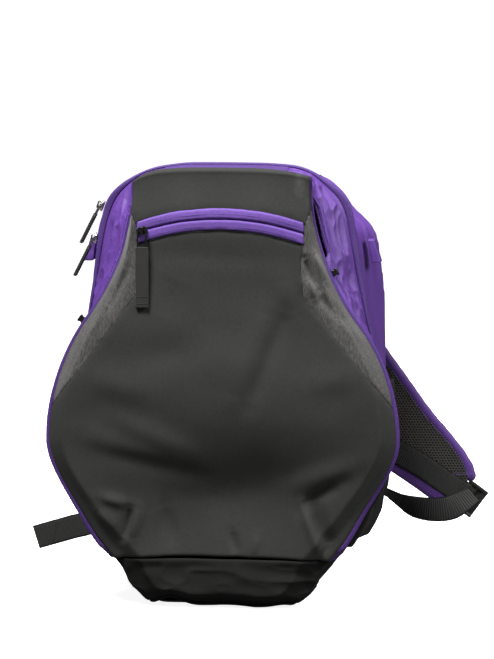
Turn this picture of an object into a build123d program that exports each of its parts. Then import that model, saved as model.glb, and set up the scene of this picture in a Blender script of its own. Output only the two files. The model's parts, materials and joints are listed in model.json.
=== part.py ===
from build123d import *

import os
from math import asin, cos, radians, sin, sqrt

# Racket backpack, standing on its base. +X is the right-hand side as seen from the front,
# +Y points to the back panel and the shoulder straps, +Z is up. The origin is the middle
# of the flat base. All sizes are millimetres.

# ---------------------------------------------------------------- driving dimensions
CROWN_Y = -92.0            # flat crown of the front panel
FRONT_SEAM_Y = -78.0       # piped seam round the front panel
ZIP_SEAM_Y = -26.0         # main zip
BACK_Y = 78.0              # back edge of the side and top panels
BOOT_SEAM_Z = 49.0         # seam between the front cover and the boot
WALL = 3.0                 # laminated fabric and lining of a wall
BACK_THICK = 3.0           # back panel
BASE_THICK = 3.2           # base panel
BODY_GAP = 0.4             # room left between pieces that move apart
SEAM_GAP = 0.1             # room left between two panels sewn edge to edge
FAR = 400.0                # longer than the bag, for cutting tools

WEBBING = 25.4             # width of the strap webbing
WEBBING_THICK = 1.5

# The front pocket zip lies on a wide arc in the crown's plane.
ZIP_ARC_R = 268.0
ZIP_ARC_Z = 388.5 - ZIP_ARC_R
ZIP_BAND = 9.5             # half width of the two welts together
ZIP_COIL = 1.6             # half width of the coil between them
ZIP_HALF_WIDTH = 81.5

# The waist of the front seam is part of one circle on each side.
WAIST_X = 331.5
WAIST_Z = 432.0
WAIST_R = 245.5

# The main zip turns the upper corners on this circle.
CORNER_X = 60.0
CORNER_Z = 373.0
CORNER_R = 66.0
CORNER_END = radians(7.5)


def waist(z):
    """Half width of the front seam at height z, along the waist circle."""
    return WAIST_X - sqrt(WAIST_R**2 - (z - WAIST_Z) ** 2)


# Right half of each outline from the base up: a start, then arcs as (through, end).
FRONT_TOP_Z = 437.0
FRONT_OUTLINE = [
    (70, 0),
    [(92, 18), (112, 41)],
    [(150, 95), (173, 165)],
    [(163, 232), (waist(282), 282)],
    [(waist(330), 330), (waist(382), 382)],
    [(waist(410), 410), (waist(FRONT_TOP_Z), FRONT_TOP_Z)],
]
CROWN_OUTLINE = [
    (56, 14),
    [(76, 30), (94, 52)],
    [(133, 102), (157, 168)],
    [(148, 228), (124, 280)],
    [(100, 328), (87, 382)],
    [(84, 406), (82, 431)],
]
CORNER_MID = (radians(90) + CORNER_END) / 2
ZIP_OUTLINE = [
    (78, 0),
    [(96, 18), (114, 42)],
    [(147, 95), (157, 150)],
    [(153, 215), (140, 282)],
    [(133, 332), (CORNER_X + CORNER_R * cos(CORNER_END), CORNER_Z + CORNER_R * sin(CORNER_END))],
    [
        (CORNER_X + CORNER_R * cos(CORNER_MID), CORNER_Z + CORNER_R * sin(CORNER_MID)),
        (CORNER_X, CORNER_Z + CORNER_R),
    ],
]
BACK_OUTLINE = [
    (80, 0),
    [(97, 16), (114, 38)],
    [(142, 88), (152, 150)],
    [(153, 215), (152, 280)],
    [(151, 313), (147, 345)],
    [(126, 404), (62, 428)],
]

# Edge of the heather side wedge, from the top of the front seam down to where it ends.
WEDGE_EDGE = [(86, 398), (82, 367), (80, 342), (82, 315), (115, 270), (168, 203)]


# ---------------------------------------------------------------- helpers
def depth_plane(y):
    """Plane facing the front of the bag, with its own x and y along +X and +Z."""
    return Plane.XZ.offset(-y)


def outline_profile(outline, inset=0.0):
    """Closed symmetric profile of an outline, every point moved in by the inset."""
    height = outline[-1][-1][1]
    squeeze = (height - 2 * inset) / height

    def place(point, side):
        return (side * (point[0] - inset), inset + point[1] * squeeze)

    with BuildSketch() as profile:
        with BuildLine():
            for side in (1, -1):
                start = outline[0]
                for through, end in outline[1:]:
                    ThreePointArc(place(start, side), place(through, side), place(end, side))
                    start = end
            Line(place(outline[-1][-1], 1), place(outline[-1][-1], -1))
            Line(place(outline[0], 1), place(outline[0], -1))
        make_face()
    return profile.sketch


def lofted(front, front_y, back, back_y, inset=0.0):
    """Solid between two outlines at two depths."""
    front_profile = outline_profile(front, inset)
    back_profile = outline_profile(back, inset)
    with BuildPart() as body:
        with BuildSketch(depth_plane(front_y)):
            add(front_profile)
        with BuildSketch(depth_plane(back_y)):
            add(back_profile)
        loft(ruled=True)
    return body.part


def plate(outline, y_low, y_high, inset=0.0):
    """Flat plate with an outline's shape between two depths."""
    profile = outline_profile(outline, inset)
    with BuildPart() as body:
        with BuildSketch(depth_plane(y_high)):
            add(profile)
        extrude(amount=y_high - y_low)
    return body.part


def prism(points, y_low=-FAR, y_high=FAR):
    """Cutting tool: a polygon in x and z, run along the depth."""
    with BuildPart() as tool:
        with BuildSketch(depth_plane(y_high)):
            with BuildLine():
                Polyline(*points, close=True)
            make_face()
        extrude(amount=y_high - y_low)
    return tool.part


def side_prism(points, x_low, x_high):
    """Cutting tool: a polygon in y and z, run along the width."""
    with BuildPart() as tool:
        with BuildSketch(Plane.YZ.offset(x_low)):
            with BuildLine():
                Polyline(*points, close=True)
            make_face()
        extrude(amount=x_high - x_low)
    return tool.part


def block(low, high):
    """Cutting tool: a box between two corners."""
    with BuildPart() as tool:
        with BuildSketch(Plane.XY.offset(low[2])):
            with Locations(((low[0] + high[0]) / 2, (low[1] + high[1]) / 2)):
                Rectangle(high[0] - low[0], high[1] - low[1])
        extrude(amount=high[2] - low[2])
    return tool.part


def arc_disc(radius, y_low=-FAR, y_high=FAR):
    """Cutting tool: everything inside a circle about the pocket zip's centre."""
    with BuildPart() as tool:
        with BuildSketch(depth_plane(y_high)):
            with Locations((0, ZIP_ARC_Z)):
                Circle(radius)
        extrude(amount=y_high - y_low)
    return tool.part


def heights(low, high):
    """Cutting tool: all of the bag between two heights."""
    return block((-FAR, -FAR, low), (FAR, FAR, high))


def save(part, name):
    """Label a finished piece and write its file."""
    part.label = name
    export_step(part, f"parts/{name}.step")


SIDES = ((-1, "left"), (1, "right"))

# ---------------------------------------------------------------- sewn shells
# The front of the cover is a shallow dome, the gussets join it to the main zip, and the
# side and top panels join the main zip to the back panel.
with BuildPart() as dome:
    add(lofted(CROWN_OUTLINE, CROWN_Y, FRONT_OUTLINE, FRONT_SEAM_Y))
    add(Pos(0, WALL, 0) * lofted(CROWN_OUTLINE, CROWN_Y, FRONT_OUTLINE, FRONT_SEAM_Y), mode=Mode.SUBTRACT)

COVER_BACK_Y = ZIP_SEAM_Y - BODY_GAP / 2
BODY_FRONT_Y = ZIP_SEAM_Y + BODY_GAP / 2
gusset_solid = lofted(FRONT_OUTLINE, FRONT_SEAM_Y + SEAM_GAP, ZIP_OUTLINE, COVER_BACK_Y)
with BuildPart() as gusset_wall:
    add(gusset_solid)
    add(
        lofted(FRONT_OUTLINE, FRONT_SEAM_Y, ZIP_OUTLINE, COVER_BACK_Y + 1, inset=WALL),
        mode=Mode.SUBTRACT,
    )

body_solid = lofted(ZIP_OUTLINE, BODY_FRONT_Y, BACK_OUTLINE, BACK_Y)
with BuildPart() as body_wall:
    add(body_solid)
    add(
        lofted(ZIP_OUTLINE, BODY_FRONT_Y - 1, BACK_OUTLINE, BACK_Y + 1, inset=WALL),
        mode=Mode.SUBTRACT,
    )

above_boot = heights(BOOT_SEAM_Z + BODY_GAP / 2, FAR + FAR)

# ---------------------------------------------------------------- front cover: front face
wedges = [
    prism([(side * x, z) for x, z in WEDGE_EDGE + [(FAR, 203), (FAR, 398)]])
    for side, _ in SIDES
]

with BuildPart() as yoke_panel:
    add(dome.part)
    add(heights(300, FAR + FAR), mode=Mode.INTERSECT)
    add(arc_disc(ZIP_ARC_R + ZIP_BAND), mode=Mode.SUBTRACT)
    for wedge in wedges:
        add(wedge, mode=Mode.SUBTRACT)
save(yoke_panel.part, "yoke_panel")

with BuildPart() as front_panel:
    add(dome.part)
    add(above_boot, mode=Mode.INTERSECT)
    add(arc_disc(ZIP_ARC_R - ZIP_BAND), mode=Mode.INTERSECT)
    for wedge in wedges:
        add(wedge, mode=Mode.SUBTRACT)
save(front_panel.part, "front_panel")

for (side, side_name), wedge in zip(SIDES, wedges):
    with BuildPart() as heather_panel:
        add(dome.part)
        add(wedge, mode=Mode.INTERSECT)
    save(heather_panel.part, f"{side_name}_heather_panel")

# Pocket zip: two welts with the coil between them, inside the crown's fabric thickness.
zip_strip = block((-ZIP_HALF_WIDTH, CROWN_Y, 300), (ZIP_HALF_WIDTH, CROWN_Y + WALL, FAR + FAR))
with BuildPart() as pocket_zip_coil:
    add(zip_strip)
    add(arc_disc(ZIP_ARC_R + ZIP_COIL), mode=Mode.INTERSECT)
    add(arc_disc(ZIP_ARC_R - ZIP_COIL), mode=Mode.SUBTRACT)
save(pocket_zip_coil.part, "pocket_zip_coil")

with BuildPart() as pocket_zip_welts:
    add(zip_strip)
    add(arc_disc(ZIP_ARC_R + ZIP_BAND), mode=Mode.INTERSECT)
    add(arc_disc(ZIP_ARC_R - ZIP_BAND), mode=Mode.SUBTRACT)
    add(pocket_zip_coil.part, mode=Mode.SUBTRACT)
    for wedge in wedges:
        add(wedge, mode=Mode.SUBTRACT)
save(pocket_zip_welts.part, "pocket_zip_welts")

# Back of the front pocket, a lining that hangs from the zip and is sewn in the front seam.
LINING_Y = -76.0
with BuildPart() as pocket_lining:
    add(plate(FRONT_OUTLINE, LINING_Y - 1.0, LINING_Y, inset=WALL + 1.5))
    add(heights(BOOT_SEAM_Z + 3, 380), mode=Mode.INTERSECT)
save(pocket_lining.part, "pocket_lining")

# ---------------------------------------------------------------- front cover: gussets
TOP_HALF = 62.0            # the top gusset and top panel end here on each side
SLOT_LOW_Z = 340.0         # open length of the right gusset zip
SLOT_HIGH_Z = 418.0
slot_profile = [(-76.5, SLOT_LOW_Z), (-66, SLOT_LOW_Z + 14), (-66, SLOT_HIGH_Z - 14), (-76.5, SLOT_HIGH_Z)]
open_slot = side_prism(slot_profile, 40, FAR)

with BuildPart() as top_gusset:
    add(gusset_wall.part)
    add(block((-TOP_HALF, -FAR, 300), (TOP_HALF, FAR, FAR + FAR)), mode=Mode.INTERSECT)
save(top_gusset.part, "top_gusset")

for side, side_name in SIDES:
    outer_half = block(
        (min(side * TOP_HALF, side * FAR), -FAR, -FAR), (max(side * TOP_HALF, side * FAR), FAR, FAR + FAR)
    )
    with BuildPart() as gusset:
        add(gusset_wall.part)
        add(above_boot, mode=Mode.INTERSECT)
        add(outer_half, mode=Mode.INTERSECT)
        if side > 0:
            add(open_slot, mode=Mode.SUBTRACT)
    save(gusset.part, f"{side_name}_gusset")

# Zip tapes of the gusset pockets: a thin skin on the gusset just behind the front seam.
TAPE_THICK = 1.2
with BuildPart() as tape_skin:
    add(lofted(FRONT_OUTLINE, FRONT_SEAM_Y + SEAM_GAP, ZIP_OUTLINE, COVER_BACK_Y, inset=-TAPE_THICK))
    add(gusset_solid, mode=Mode.SUBTRACT)

GUSSET_ZIP_LOW_Z = 262.0
GUSSET_ZIP_HIGH_Z = 424.0
FRONT_TAPE = [
    (-75.0, GUSSET_ZIP_LOW_Z),
    (-73.6, GUSSET_ZIP_LOW_Z),
    (-73.6, SLOT_LOW_Z - 4),
    (-75.0, SLOT_LOW_Z),
]
REAR_TAPE_CLOSED = [
    (-73.0, GUSSET_ZIP_LOW_Z),
    (-69.0, GUSSET_ZIP_LOW_Z),
    (-69.0, GUSSET_ZIP_HIGH_Z),
    (-73.0, GUSSET_ZIP_HIGH_Z),
]
REAR_TAPE_OPEN = [
    (-73.0, GUSSET_ZIP_LOW_Z),
    (-69.0, GUSSET_ZIP_LOW_Z),
    (-69.0, SLOT_LOW_Z),
    (-61.5, SLOT_LOW_Z + 14),
    (-61.5, SLOT_HIGH_Z - 12),
    (-69.0, GUSSET_ZIP_HIGH_Z),
    (-73.0, GUSSET_ZIP_HIGH_Z),
    (-65.6, SLOT_HIGH_Z - 14),
    (-65.6, SLOT_LOW_Z + 13),
    (-73.0, SLOT_LOW_Z - 2),
]
for side, side_name in SIDES:
    x_low, x_high = sorted((side * TOP_HALF, side * FAR))
    rear_profile = REAR_TAPE_OPEN if side > 0 else REAR_TAPE_CLOSED
    front_cut = side_prism(FRONT_TAPE, x_low, x_high)
    rear_cut = side_prism(rear_profile, x_low, x_high)
    with BuildPart() as tapes:
        add(front_cut)
        add(rear_cut)
        add(tape_skin.part, mode=Mode.INTERSECT)
    save(tapes.part, f"{side_name}_gusset_zip_tapes")

# Wall between the front compartment and the main compartment.
with BuildPart() as divider_panel:
    add(plate(ZIP_OUTLINE, COVER_BACK_Y - 2.5, COVER_BACK_Y - 0.2, inset=WALL + 3.0))
    add(heights(BOOT_SEAM_Z + 3, FAR + FAR), mode=Mode.INTERSECT)
save(divider_panel.part, "divider_panel")

# Piping sewn into the front seam.
PIPING = 2.4
with BuildPart() as front_piping:
    add(plate(FRONT_OUTLINE, FRONT_SEAM_Y - 2, FRONT_SEAM_Y + 2, inset=-PIPING))
    add(plate(FRONT_OUTLINE, FRONT_SEAM_Y - 3, FRONT_SEAM_Y + 3, inset=-0.1), mode=Mode.SUBTRACT)
    add(gusset_solid, mode=Mode.SUBTRACT)
    add(above_boot, mode=Mode.INTERSECT)
save(front_piping.part, "front_piping")

# ---------------------------------------------------------------- main zip
MAIN_TAPE = 1.4
MAIN_ZIP_END_Z = BOOT_SEAM_Z + 8
MAIN_ZIP_BANDS = {
    "main_zip_front_tape": (-34.0, COVER_BACK_Y - 1.2),
    "main_zip_coil": (BODY_FRONT_Y, BODY_FRONT_Y + 1.6),
    "main_zip_back_tape": (BODY_FRONT_Y + 1.7, -18.0),
}
for band_name, (y_low, y_high) in MAIN_ZIP_BANDS.items():
    with BuildPart() as band:
        add(plate(ZIP_OUTLINE, y_low, y_high, inset=-MAIN_TAPE - 0.6))
        add(gusset_solid, mode=Mode.SUBTRACT)
        add(body_solid, mode=Mode.SUBTRACT)
        add(heights(MAIN_ZIP_END_Z, FAR + FAR), mode=Mode.INTERSECT)
    save(band.part, band_name)

# ---------------------------------------------------------------- pack body
with BuildPart() as top_panel:
    add(body_wall.part)
    add(block((-TOP_HALF, -FAR, 300), (TOP_HALF, FAR, FAR + FAR)), mode=Mode.INTERSECT)
save(top_panel.part, "top_panel")

for side, side_name in SIDES:
    x_low, x_high = sorted((side * TOP_HALF, side * FAR))
    with BuildPart() as side_panel:
        add(body_wall.part)
        add(block((x_low, -FAR, BOOT_SEAM_Z + SEAM_GAP), (x_high, FAR, FAR + FAR)), mode=Mode.INTERSECT)
    save(side_panel.part, f"{side_name}_side_panel")

# The boot wraps the bottom of the bag on three sides, and the base panel closes it.
with BuildPart() as bag_solid:
    add(lofted(CROWN_OUTLINE, CROWN_Y, FRONT_OUTLINE, FRONT_SEAM_Y))
    add(lofted(FRONT_OUTLINE, FRONT_SEAM_Y, ZIP_OUTLINE, ZIP_SEAM_Y))
    add(lofted(ZIP_OUTLINE, ZIP_SEAM_Y, BACK_OUTLINE, BACK_Y))

with BuildPart() as bag_hollow:
    add(lofted(CROWN_OUTLINE, CROWN_Y + WALL, FRONT_OUTLINE, FRONT_SEAM_Y, inset=WALL))
    add(lofted(FRONT_OUTLINE, FRONT_SEAM_Y, ZIP_OUTLINE, ZIP_SEAM_Y, inset=WALL))
    add(lofted(ZIP_OUTLINE, ZIP_SEAM_Y, BACK_OUTLINE, BACK_Y, inset=WALL))

with BuildPart() as boot_panel:
    add(bag_solid.part)
    add(bag_hollow.part, mode=Mode.SUBTRACT)
    add(heights(BASE_THICK + SEAM_GAP, BOOT_SEAM_Z - BODY_GAP / 2), mode=Mode.INTERSECT)
save(boot_panel.part, "boot_panel")

with BuildPart() as base_panel:
    add(bag_solid.part)
    add(heights(0, BASE_THICK), mode=Mode.INTERSECT)
save(base_panel.part, "base_panel")

STIFFENER = (132.0, 140.0, 2.0)
with BuildPart() as base_stiffener:
    with BuildSketch(Plane.XY.offset(BASE_THICK + SEAM_GAP)):
        RectangleRounded(STIFFENER[0], STIFFENER[1], 12)
    extrude(amount=STIFFENER[2])
save(base_stiffener.part, "base_stiffener")

with BuildPart() as back_panel:
    add(plate(BACK_OUTLINE, BACK_Y + SEAM_GAP, BACK_Y + BACK_THICK))
save(back_panel.part, "back_panel")

# Padding on the back panel: one pad each side of an air channel, and a lumbar pad.
PAD_Y = BACK_Y + BACK_THICK
PAD_THICK = 7.0
for side, side_name in SIDES:
    with BuildPart() as back_pad:
        with BuildSketch(depth_plane(PAD_Y + 0.1 + PAD_THICK)):
            with Locations((side * 60, 220)):
                RectangleRounded(84, 230, 22)
        extrude(amount=PAD_THICK)
        fillet(back_pad.edges().filter_by(GeomType.LINE).filter_by(Axis.Z).group_by(Axis.Y)[-1], 3)
    save(back_pad.part, f"{side_name}_back_pad")

with BuildPart() as lumbar_pad:
    with BuildSketch(depth_plane(PAD_Y + 0.1 + PAD_THICK)):
        with Locations((0, 62)):
            RectangleRounded(206, 62, 22)
    extrude(amount=PAD_THICK)
save(lumbar_pad.part, "lumbar_pad")

# Open-topped side pockets: each is a skin that follows the side panel and stands off it.
POCKET_LOW = (90.0, -14.0, 52.0)       # nearest corner to the middle, front and floor
POCKET_HIGH = (FAR, 72.0, 222.0)
POCKET_DEPTH = 9.5
POCKET_WALL = 2.2
POCKET_END = 5.0                       # thickness of its sewn front and back ends
pocket_skin = lofted(ZIP_OUTLINE, ZIP_SEAM_Y, BACK_OUTLINE, BACK_Y, inset=-POCKET_DEPTH)
pocket_core = lofted(ZIP_OUTLINE, ZIP_SEAM_Y, BACK_OUTLINE, BACK_Y, inset=POCKET_WALL - POCKET_DEPTH)
side_skin = lofted(ZIP_OUTLINE, ZIP_SEAM_Y, BACK_OUTLINE, BACK_Y, inset=-SEAM_GAP)
for side, side_name in SIDES:
    x_low, x_high = sorted((side * POCKET_LOW[0], side * POCKET_HIGH[0]))
    room_low = (x_low, POCKET_LOW[1] + POCKET_END, POCKET_LOW[2] + POCKET_WALL)
    room_high = (x_high, POCKET_HIGH[1] - POCKET_END, FAR + FAR)
    with BuildPart() as pocket_room:
        add(pocket_core)
        add(block(room_low, room_high), mode=Mode.INTERSECT)
    with BuildPart() as side_pocket:
        add(pocket_skin)
        add(block((x_low, *POCKET_LOW[1:]), (x_high, *POCKET_HIGH[1:])), mode=Mode.INTERSECT)
        add(pocket_room.part, mode=Mode.SUBTRACT)
        add(side_skin, mode=Mode.SUBTRACT)
    save(side_pocket.part, f"{side_name}_side_pocket")

# ---------------------------------------------------------------- zip sliders and pulls
# A slider is a small saddle over the coil, longer along the zip than across it. Its bridge
# holds the pull, which turns about the bridge on a wire link.
SLIDER = (11.0, 8.0, 2.6)      # along the zip, across it, thickness
BRIDGE_SPAN = 6.2
BRIDGE_POST = 1.4
BRIDGE_WIDTH = 3.0
BRIDGE_RISE = 3.0
LINK_R = 0.8
TAB_OVERLAP = 4.0              # a tab starts this far before its link's outer end


def slider_solid(plane, bridge=None):
    """Zip slider on a plane whose x runs along the zip and whose z points outward.

    The bridge runs along the zip, or along the x of a plane of its own.
    """
    bridge = bridge or plane
    with BuildPart() as slider:
        with BuildSketch(plane.offset(BODY_GAP)):
            SlotOverall(SLIDER[0], SLIDER[1])
        extrude(amount=SLIDER[2])
        with BuildSketch(bridge.offset(BODY_GAP + SLIDER[2])):
            with GridLocations(BRIDGE_SPAN, 0, 2, 1):
                Rectangle(BRIDGE_POST, BRIDGE_WIDTH)
        extrude(amount=BRIDGE_RISE)
        with BuildSketch(bridge.offset(BODY_GAP + SLIDER[2] + BRIDGE_RISE)):
            Rectangle(BRIDGE_SPAN + BRIDGE_POST, BRIDGE_WIDTH)
        extrude(amount=BRIDGE_POST)
    return slider.part


def link_solid(plane, length, width):
    """Closed wire link of a pull, lying in the plane, hanging from x = 0 towards +x."""
    with BuildPart() as link:
        with BuildSketch(plane):
            with Locations((length / 2 - LINK_R, 0)):
                RectangleRounded(length, width, 1.4)
                RectangleRounded(length - 4 * LINK_R, width - 4 * LINK_R, 0.7, mode=Mode.SUBTRACT)
        extrude(amount=2 * LINK_R)
    return link.part


def webbing_solid(plane, length, width, thick, start=0.0):
    """Flat run of webbing in the plane, centred on its x axis."""
    with BuildPart() as tape:
        with BuildSketch(plane):
            with Locations((start + length / 2, 0)):
                Rectangle(length, width)
        extrude(amount=thick)
    return tape.part


def pull_tab_solid(plane, length, width, thick, start):
    """Webbing tab folded over the bottom of a link, with a slot for the link's wire."""
    with BuildPart() as tab:
        add(webbing_solid(plane.offset(LINK_R - thick / 2), length, width, thick, start=start))
        slot_length = TAB_OVERLAP - LINK_R + 0.3
        slot_depth = 2 * LINK_R + 0.2
        slot = webbing_solid(plane.offset(-0.1), slot_length, width, slot_depth, start=start)
        add(slot, mode=Mode.SUBTRACT)
    return tab.part


# Pocket slider, near the left end of the pocket zip, with its pull hanging straight down.
POCKET_PARK = radians(-16.6)
park_x = ZIP_ARC_R * sin(POCKET_PARK)
park_z = ZIP_ARC_Z + ZIP_ARC_R * cos(POCKET_PARK)
along_zip = (cos(POCKET_PARK), 0, -sin(POCKET_PARK))
pocket_plane = Plane((park_x, CROWN_Y, park_z), along_zip, (0, -1, 0))
hanging_plane = Plane((park_x, CROWN_Y, park_z), (0, 0, -1), (0, -1, 0))
save(slider_solid(pocket_plane, bridge=hanging_plane), "pocket_slider")

LINK_LIFT = BODY_GAP + SLIDER[2] + 0.5     # a link's wire above the zip
POCKET_LINK = (20.0, 10.0)                 # length and width of the wire link
PULL_TAB = (60.0, 12.7, 3.2)               # length, width, thickness of the pocket pull
pull_plane = Plane((park_x, CROWN_Y - LINK_LIFT, park_z), (0, 0, -1), (0, -1, 0))
save(link_solid(pull_plane, *POCKET_LINK), "pocket_pull_link")
save(pull_tab_solid(pull_plane, *PULL_TAB, POCKET_LINK[0] - TAB_OVERLAP), "pocket_pull_tab")

# Main zip sliders on the left shoulder: the upper one runs over the corner's circle, the
# lower one down the nearly straight side. Each carries a nickel link and a strap pull.
MAIN_SURFACE = MAIN_TAPE + 1.2
SIDE_LEAN = radians(8.4)
LOWER_PARK = (-128.2, 364.0)
UPPER_ANGLE = radians(160)
MAIN_LINK = (13.0, 10.0)
STRAP_PULL = (34.0, 10.0, 3.2)
PULL_LEAN = radians(27)
lower_out = (-cos(SIDE_LEAN), 0, sin(SIDE_LEAN))
upper_out = (cos(UPPER_ANGLE), 0, sin(UPPER_ANGLE))
upper_seat = Vector(-CORNER_X, ZIP_SEAM_Y, CORNER_Z) + Vector(*upper_out) * (CORNER_R + MAIN_SURFACE)
lower_seat = Vector(LOWER_PARK[0], ZIP_SEAM_Y, LOWER_PARK[1]) + Vector(*lower_out) * MAIN_SURFACE
for pull_name, seat, outward in (("upper", upper_seat, upper_out), ("lower", lower_seat, lower_out)):
    along = (-outward[2], 0, outward[0])
    save(slider_solid(Plane(seat, along, outward)), f"main_slider_{pull_name}")
    hinge = seat + Vector(*outward) * (LINK_LIFT + LINK_R)
    hang = Vector(-sin(PULL_LEAN), 0, -cos(PULL_LEAN))
    away = Vector(-cos(PULL_LEAN), 0, sin(PULL_LEAN))
    link_plane = Plane(hinge - away * LINK_R, hang, away)
    save(link_solid(link_plane, *MAIN_LINK), f"main_link_{pull_name}")
    save(pull_tab_solid(link_plane, *STRAP_PULL, MAIN_LINK[0] - TAB_OVERLAP), f"main_pull_{pull_name}")

# Gusset zip sliders, on the waist circle just behind the front seam.
GUSSET_SLIDER_Y = -73.3
GUSSET_LIFT = 6.6              # clear of the tape where the gusset slopes outward
GUSSET_PARK_Z = {"left": 284.0, "right": 334.0}
for side, side_name in SIDES:
    angle = asin((GUSSET_PARK_Z[side_name] - WAIST_Z) / WAIST_R)
    radius = WAIST_R - GUSSET_LIFT
    centre = (side * (WAIST_X - radius * cos(angle)), GUSSET_SLIDER_Y, WAIST_Z + radius * sin(angle))
    along = (side * sin(angle), 0, cos(angle))
    outward = (side * cos(angle), 0, -sin(angle))
    with BuildPart() as gusset_slider:
        with BuildSketch(Plane(centre, along, outward)):
            SlotOverall(SLIDER[0], 6.4)
        extrude(amount=SLIDER[2])
    save(gusset_slider.part, f"{side_name}_gusset_slider")

# ---------------------------------------------------------------- webbing on the body
# Folded loop on each side panel, near the top of the side.
TAB_Z = 350.0
TAB_Y = 33.0
for side, side_name in SIDES:
    with BuildPart() as side_tab:
        with BuildSketch(depth_plane(TAB_Y)):
            with BuildLine():
                Polyline(
                    (side * 138.0, TAB_Z + 12),
                    (side * 144.5, TAB_Z + 12),
                    (side * 152.0, TAB_Z - 11),
                    (side * 142.0, TAB_Z - 11),
                    close=True,
                )
            make_face()
        extrude(amount=22)
        add(body_solid, mode=Mode.SUBTRACT)
    save(side_tab.part, f"{side_name}_side_tab")

# Patch that the shoulder straps and the haul loop are sewn under.
YOKE_PATCH_Y = PAD_Y + 0.1
with BuildPart() as strap_yoke:
    with BuildSketch(depth_plane(YOKE_PATCH_Y + PAD_THICK)):
        with Locations((0, 392)):
            RectangleRounded(150, 42, 8)
    extrude(amount=PAD_THICK)
save(strap_yoke.part, "strap_yoke")

# Haul loop: one webbing doubled over, sewn at its top and hanging down behind the yoke.
HAUL_Y = YOKE_PATCH_Y + PAD_THICK + BODY_GAP
HAUL_TOP_Z = 412.0
HAUL_LOOP = (15.0, 62.0)       # how far it stands out, and how far it hangs down
HAUL_THICK = 2.2
with BuildPart() as haul_loop:
    with BuildSketch(Plane.YZ.offset(-WEBBING / 2)):
        with Locations((HAUL_Y + HAUL_LOOP[0] / 2, HAUL_TOP_Z - HAUL_LOOP[1] / 2)):
            RectangleRounded(*HAUL_LOOP, 7.0)
            RectangleRounded(HAUL_LOOP[0] - 2 * HAUL_THICK, HAUL_LOOP[1] - 2 * HAUL_THICK, 5.0,
                             mode=Mode.SUBTRACT)
    extrude(amount=WEBBING)
save(haul_loop.part, "haul_loop")

# ---------------------------------------------------------------- shoulder straps
# Each strap lies behind the bag with its mesh face forward. The right one swings out past
# the side and ends in its ladder lock, the left one stays behind the bag.
STRAP_MESH_Y = HAUL_Y + 2.6
MESH_THICK = 1.2
STRAP_PAD_THICK = 8.0
STRAP_HALF = 27.5
BINDING = 2.2
STRAP_STEPS = 14
STRAPS = {
    "right": [(48, 409), (52, 352), (76, 296), (112, 242), (150, 190), (186, 141), (224, 97)],
    "left": [(-48, 409), (-52, 352), (-58, 300), (-64, 250), (-72, 200), (-84, 152), (-106, 106)],
}


def strap_half_width(t):
    """Half width of a strap: narrow where it is sewn on, full, then tapered to its end."""
    if t < 0.2:
        return 19 + (STRAP_HALF - 19) * sin(radians(90) * t / 0.2)
    if t > 0.82:
        return 15 + (STRAP_HALF - 15) * cos(radians(90) * (t - 0.82) / 0.18)
    return STRAP_HALF


def swept_profile(points, half_width, steps):
    """Flat outline in x and z about a centre line; half_width(t) is its half width at t."""
    centre = Edge.make_spline([Vector(*p) for p in points])
    left, right = [], []
    for step in range(steps + 1):
        t = step / steps
        at = centre.position_at(t)
        along = centre.tangent_at(t)
        across = Vector(-along.Y, along.X) * half_width(t)
        left.append(at + across)
        right.append(at - across)
    with BuildSketch() as profile:
        with BuildLine():
            Spline(*left)
            Line(left[-1], right[-1])
            Spline(*right)
            Line(right[0], left[0])
        make_face()
    return profile.sketch


def strap_profile(points, grow=0.0):
    """Outline of a shoulder strap, grown by its binding if grow is given."""
    return swept_profile(points, lambda t: strap_half_width(t) + grow, STRAP_STEPS)


def strip_profile(points, width):
    """Outline of a webbing run of one width."""
    return swept_profile(points, lambda t: width / 2, 8)


def depth_slab(profile, y_low, y_high):
    """A flat profile in x and z, thickened between two depths."""
    with BuildPart() as slab:
        with BuildSketch(depth_plane(y_high)):
            add(profile)
        extrude(amount=y_high - y_low)
    return slab.part


PAD_LOW_Y = STRAP_MESH_Y + MESH_THICK
PAD_HIGH_Y = PAD_LOW_Y + STRAP_PAD_THICK
for side_name, path in STRAPS.items():
    face = strap_profile(path)
    rim = strap_profile(path, BINDING)
    save(depth_slab(face, STRAP_MESH_Y, PAD_LOW_Y - 0.05), f"{side_name}_strap_mesh")
    save(depth_slab(face, PAD_LOW_Y, PAD_HIGH_Y), f"{side_name}_strap_pad")
    with BuildPart() as binding:
        add(depth_slab(rim, STRAP_MESH_Y + 0.4, PAD_HIGH_Y - 0.8))
        add(depth_slab(face, STRAP_MESH_Y - 1, PAD_HIGH_Y + 1), mode=Mode.SUBTRACT)
        add(heights(0, 405), mode=Mode.INTERSECT)
    save(binding.part, f"{side_name}_strap_binding")

# Ladder locks: a moulded frame with a round bar at the strap's end, a bar for the
# adjusting webbing, and a wide lip.
LOCK = (24.0, 33.0, 5.0)       # along the strap, across it, thickness
LOCK_RAIL = 3.0                # width of the side rails
LOCK_BAR_R = 1.8
LOCK_BARS = (0.0, 9.0)         # the two bars, from the hinge end
LOCK_LIP = (15.4, 21.4)
LOCK_Y = STRAP_MESH_Y + 3.9    # middle of the lock's thickness
LOCKS = {
    "right": ((233.0, 92.0), (0.81, -0.586)),
    "left": ((-115.0, 97.0), (-0.76, -0.65)),
}
TAILS = {
    "right": [(242, 84), (226, 77), (200, 84), (176, 98), (152, 104)],
    "left": [(-132, 84), (-152, 74), (-180, 62), (-206, 50), (-224, 40)],
}
RUNS = {
    "right": [(100, 162), (140, 147), (184, 125), (226, 98)],
    "left": [(-136, 152), (-130, 134), (-122, 116), (-114, 101)],
}
LOOP_REACH = 12.0              # length of the loop's two plies towards the strap
ANCHOR_TAB = (34.0, 30.0, 5.2)
ANCHOR_X = 126.0
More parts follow.
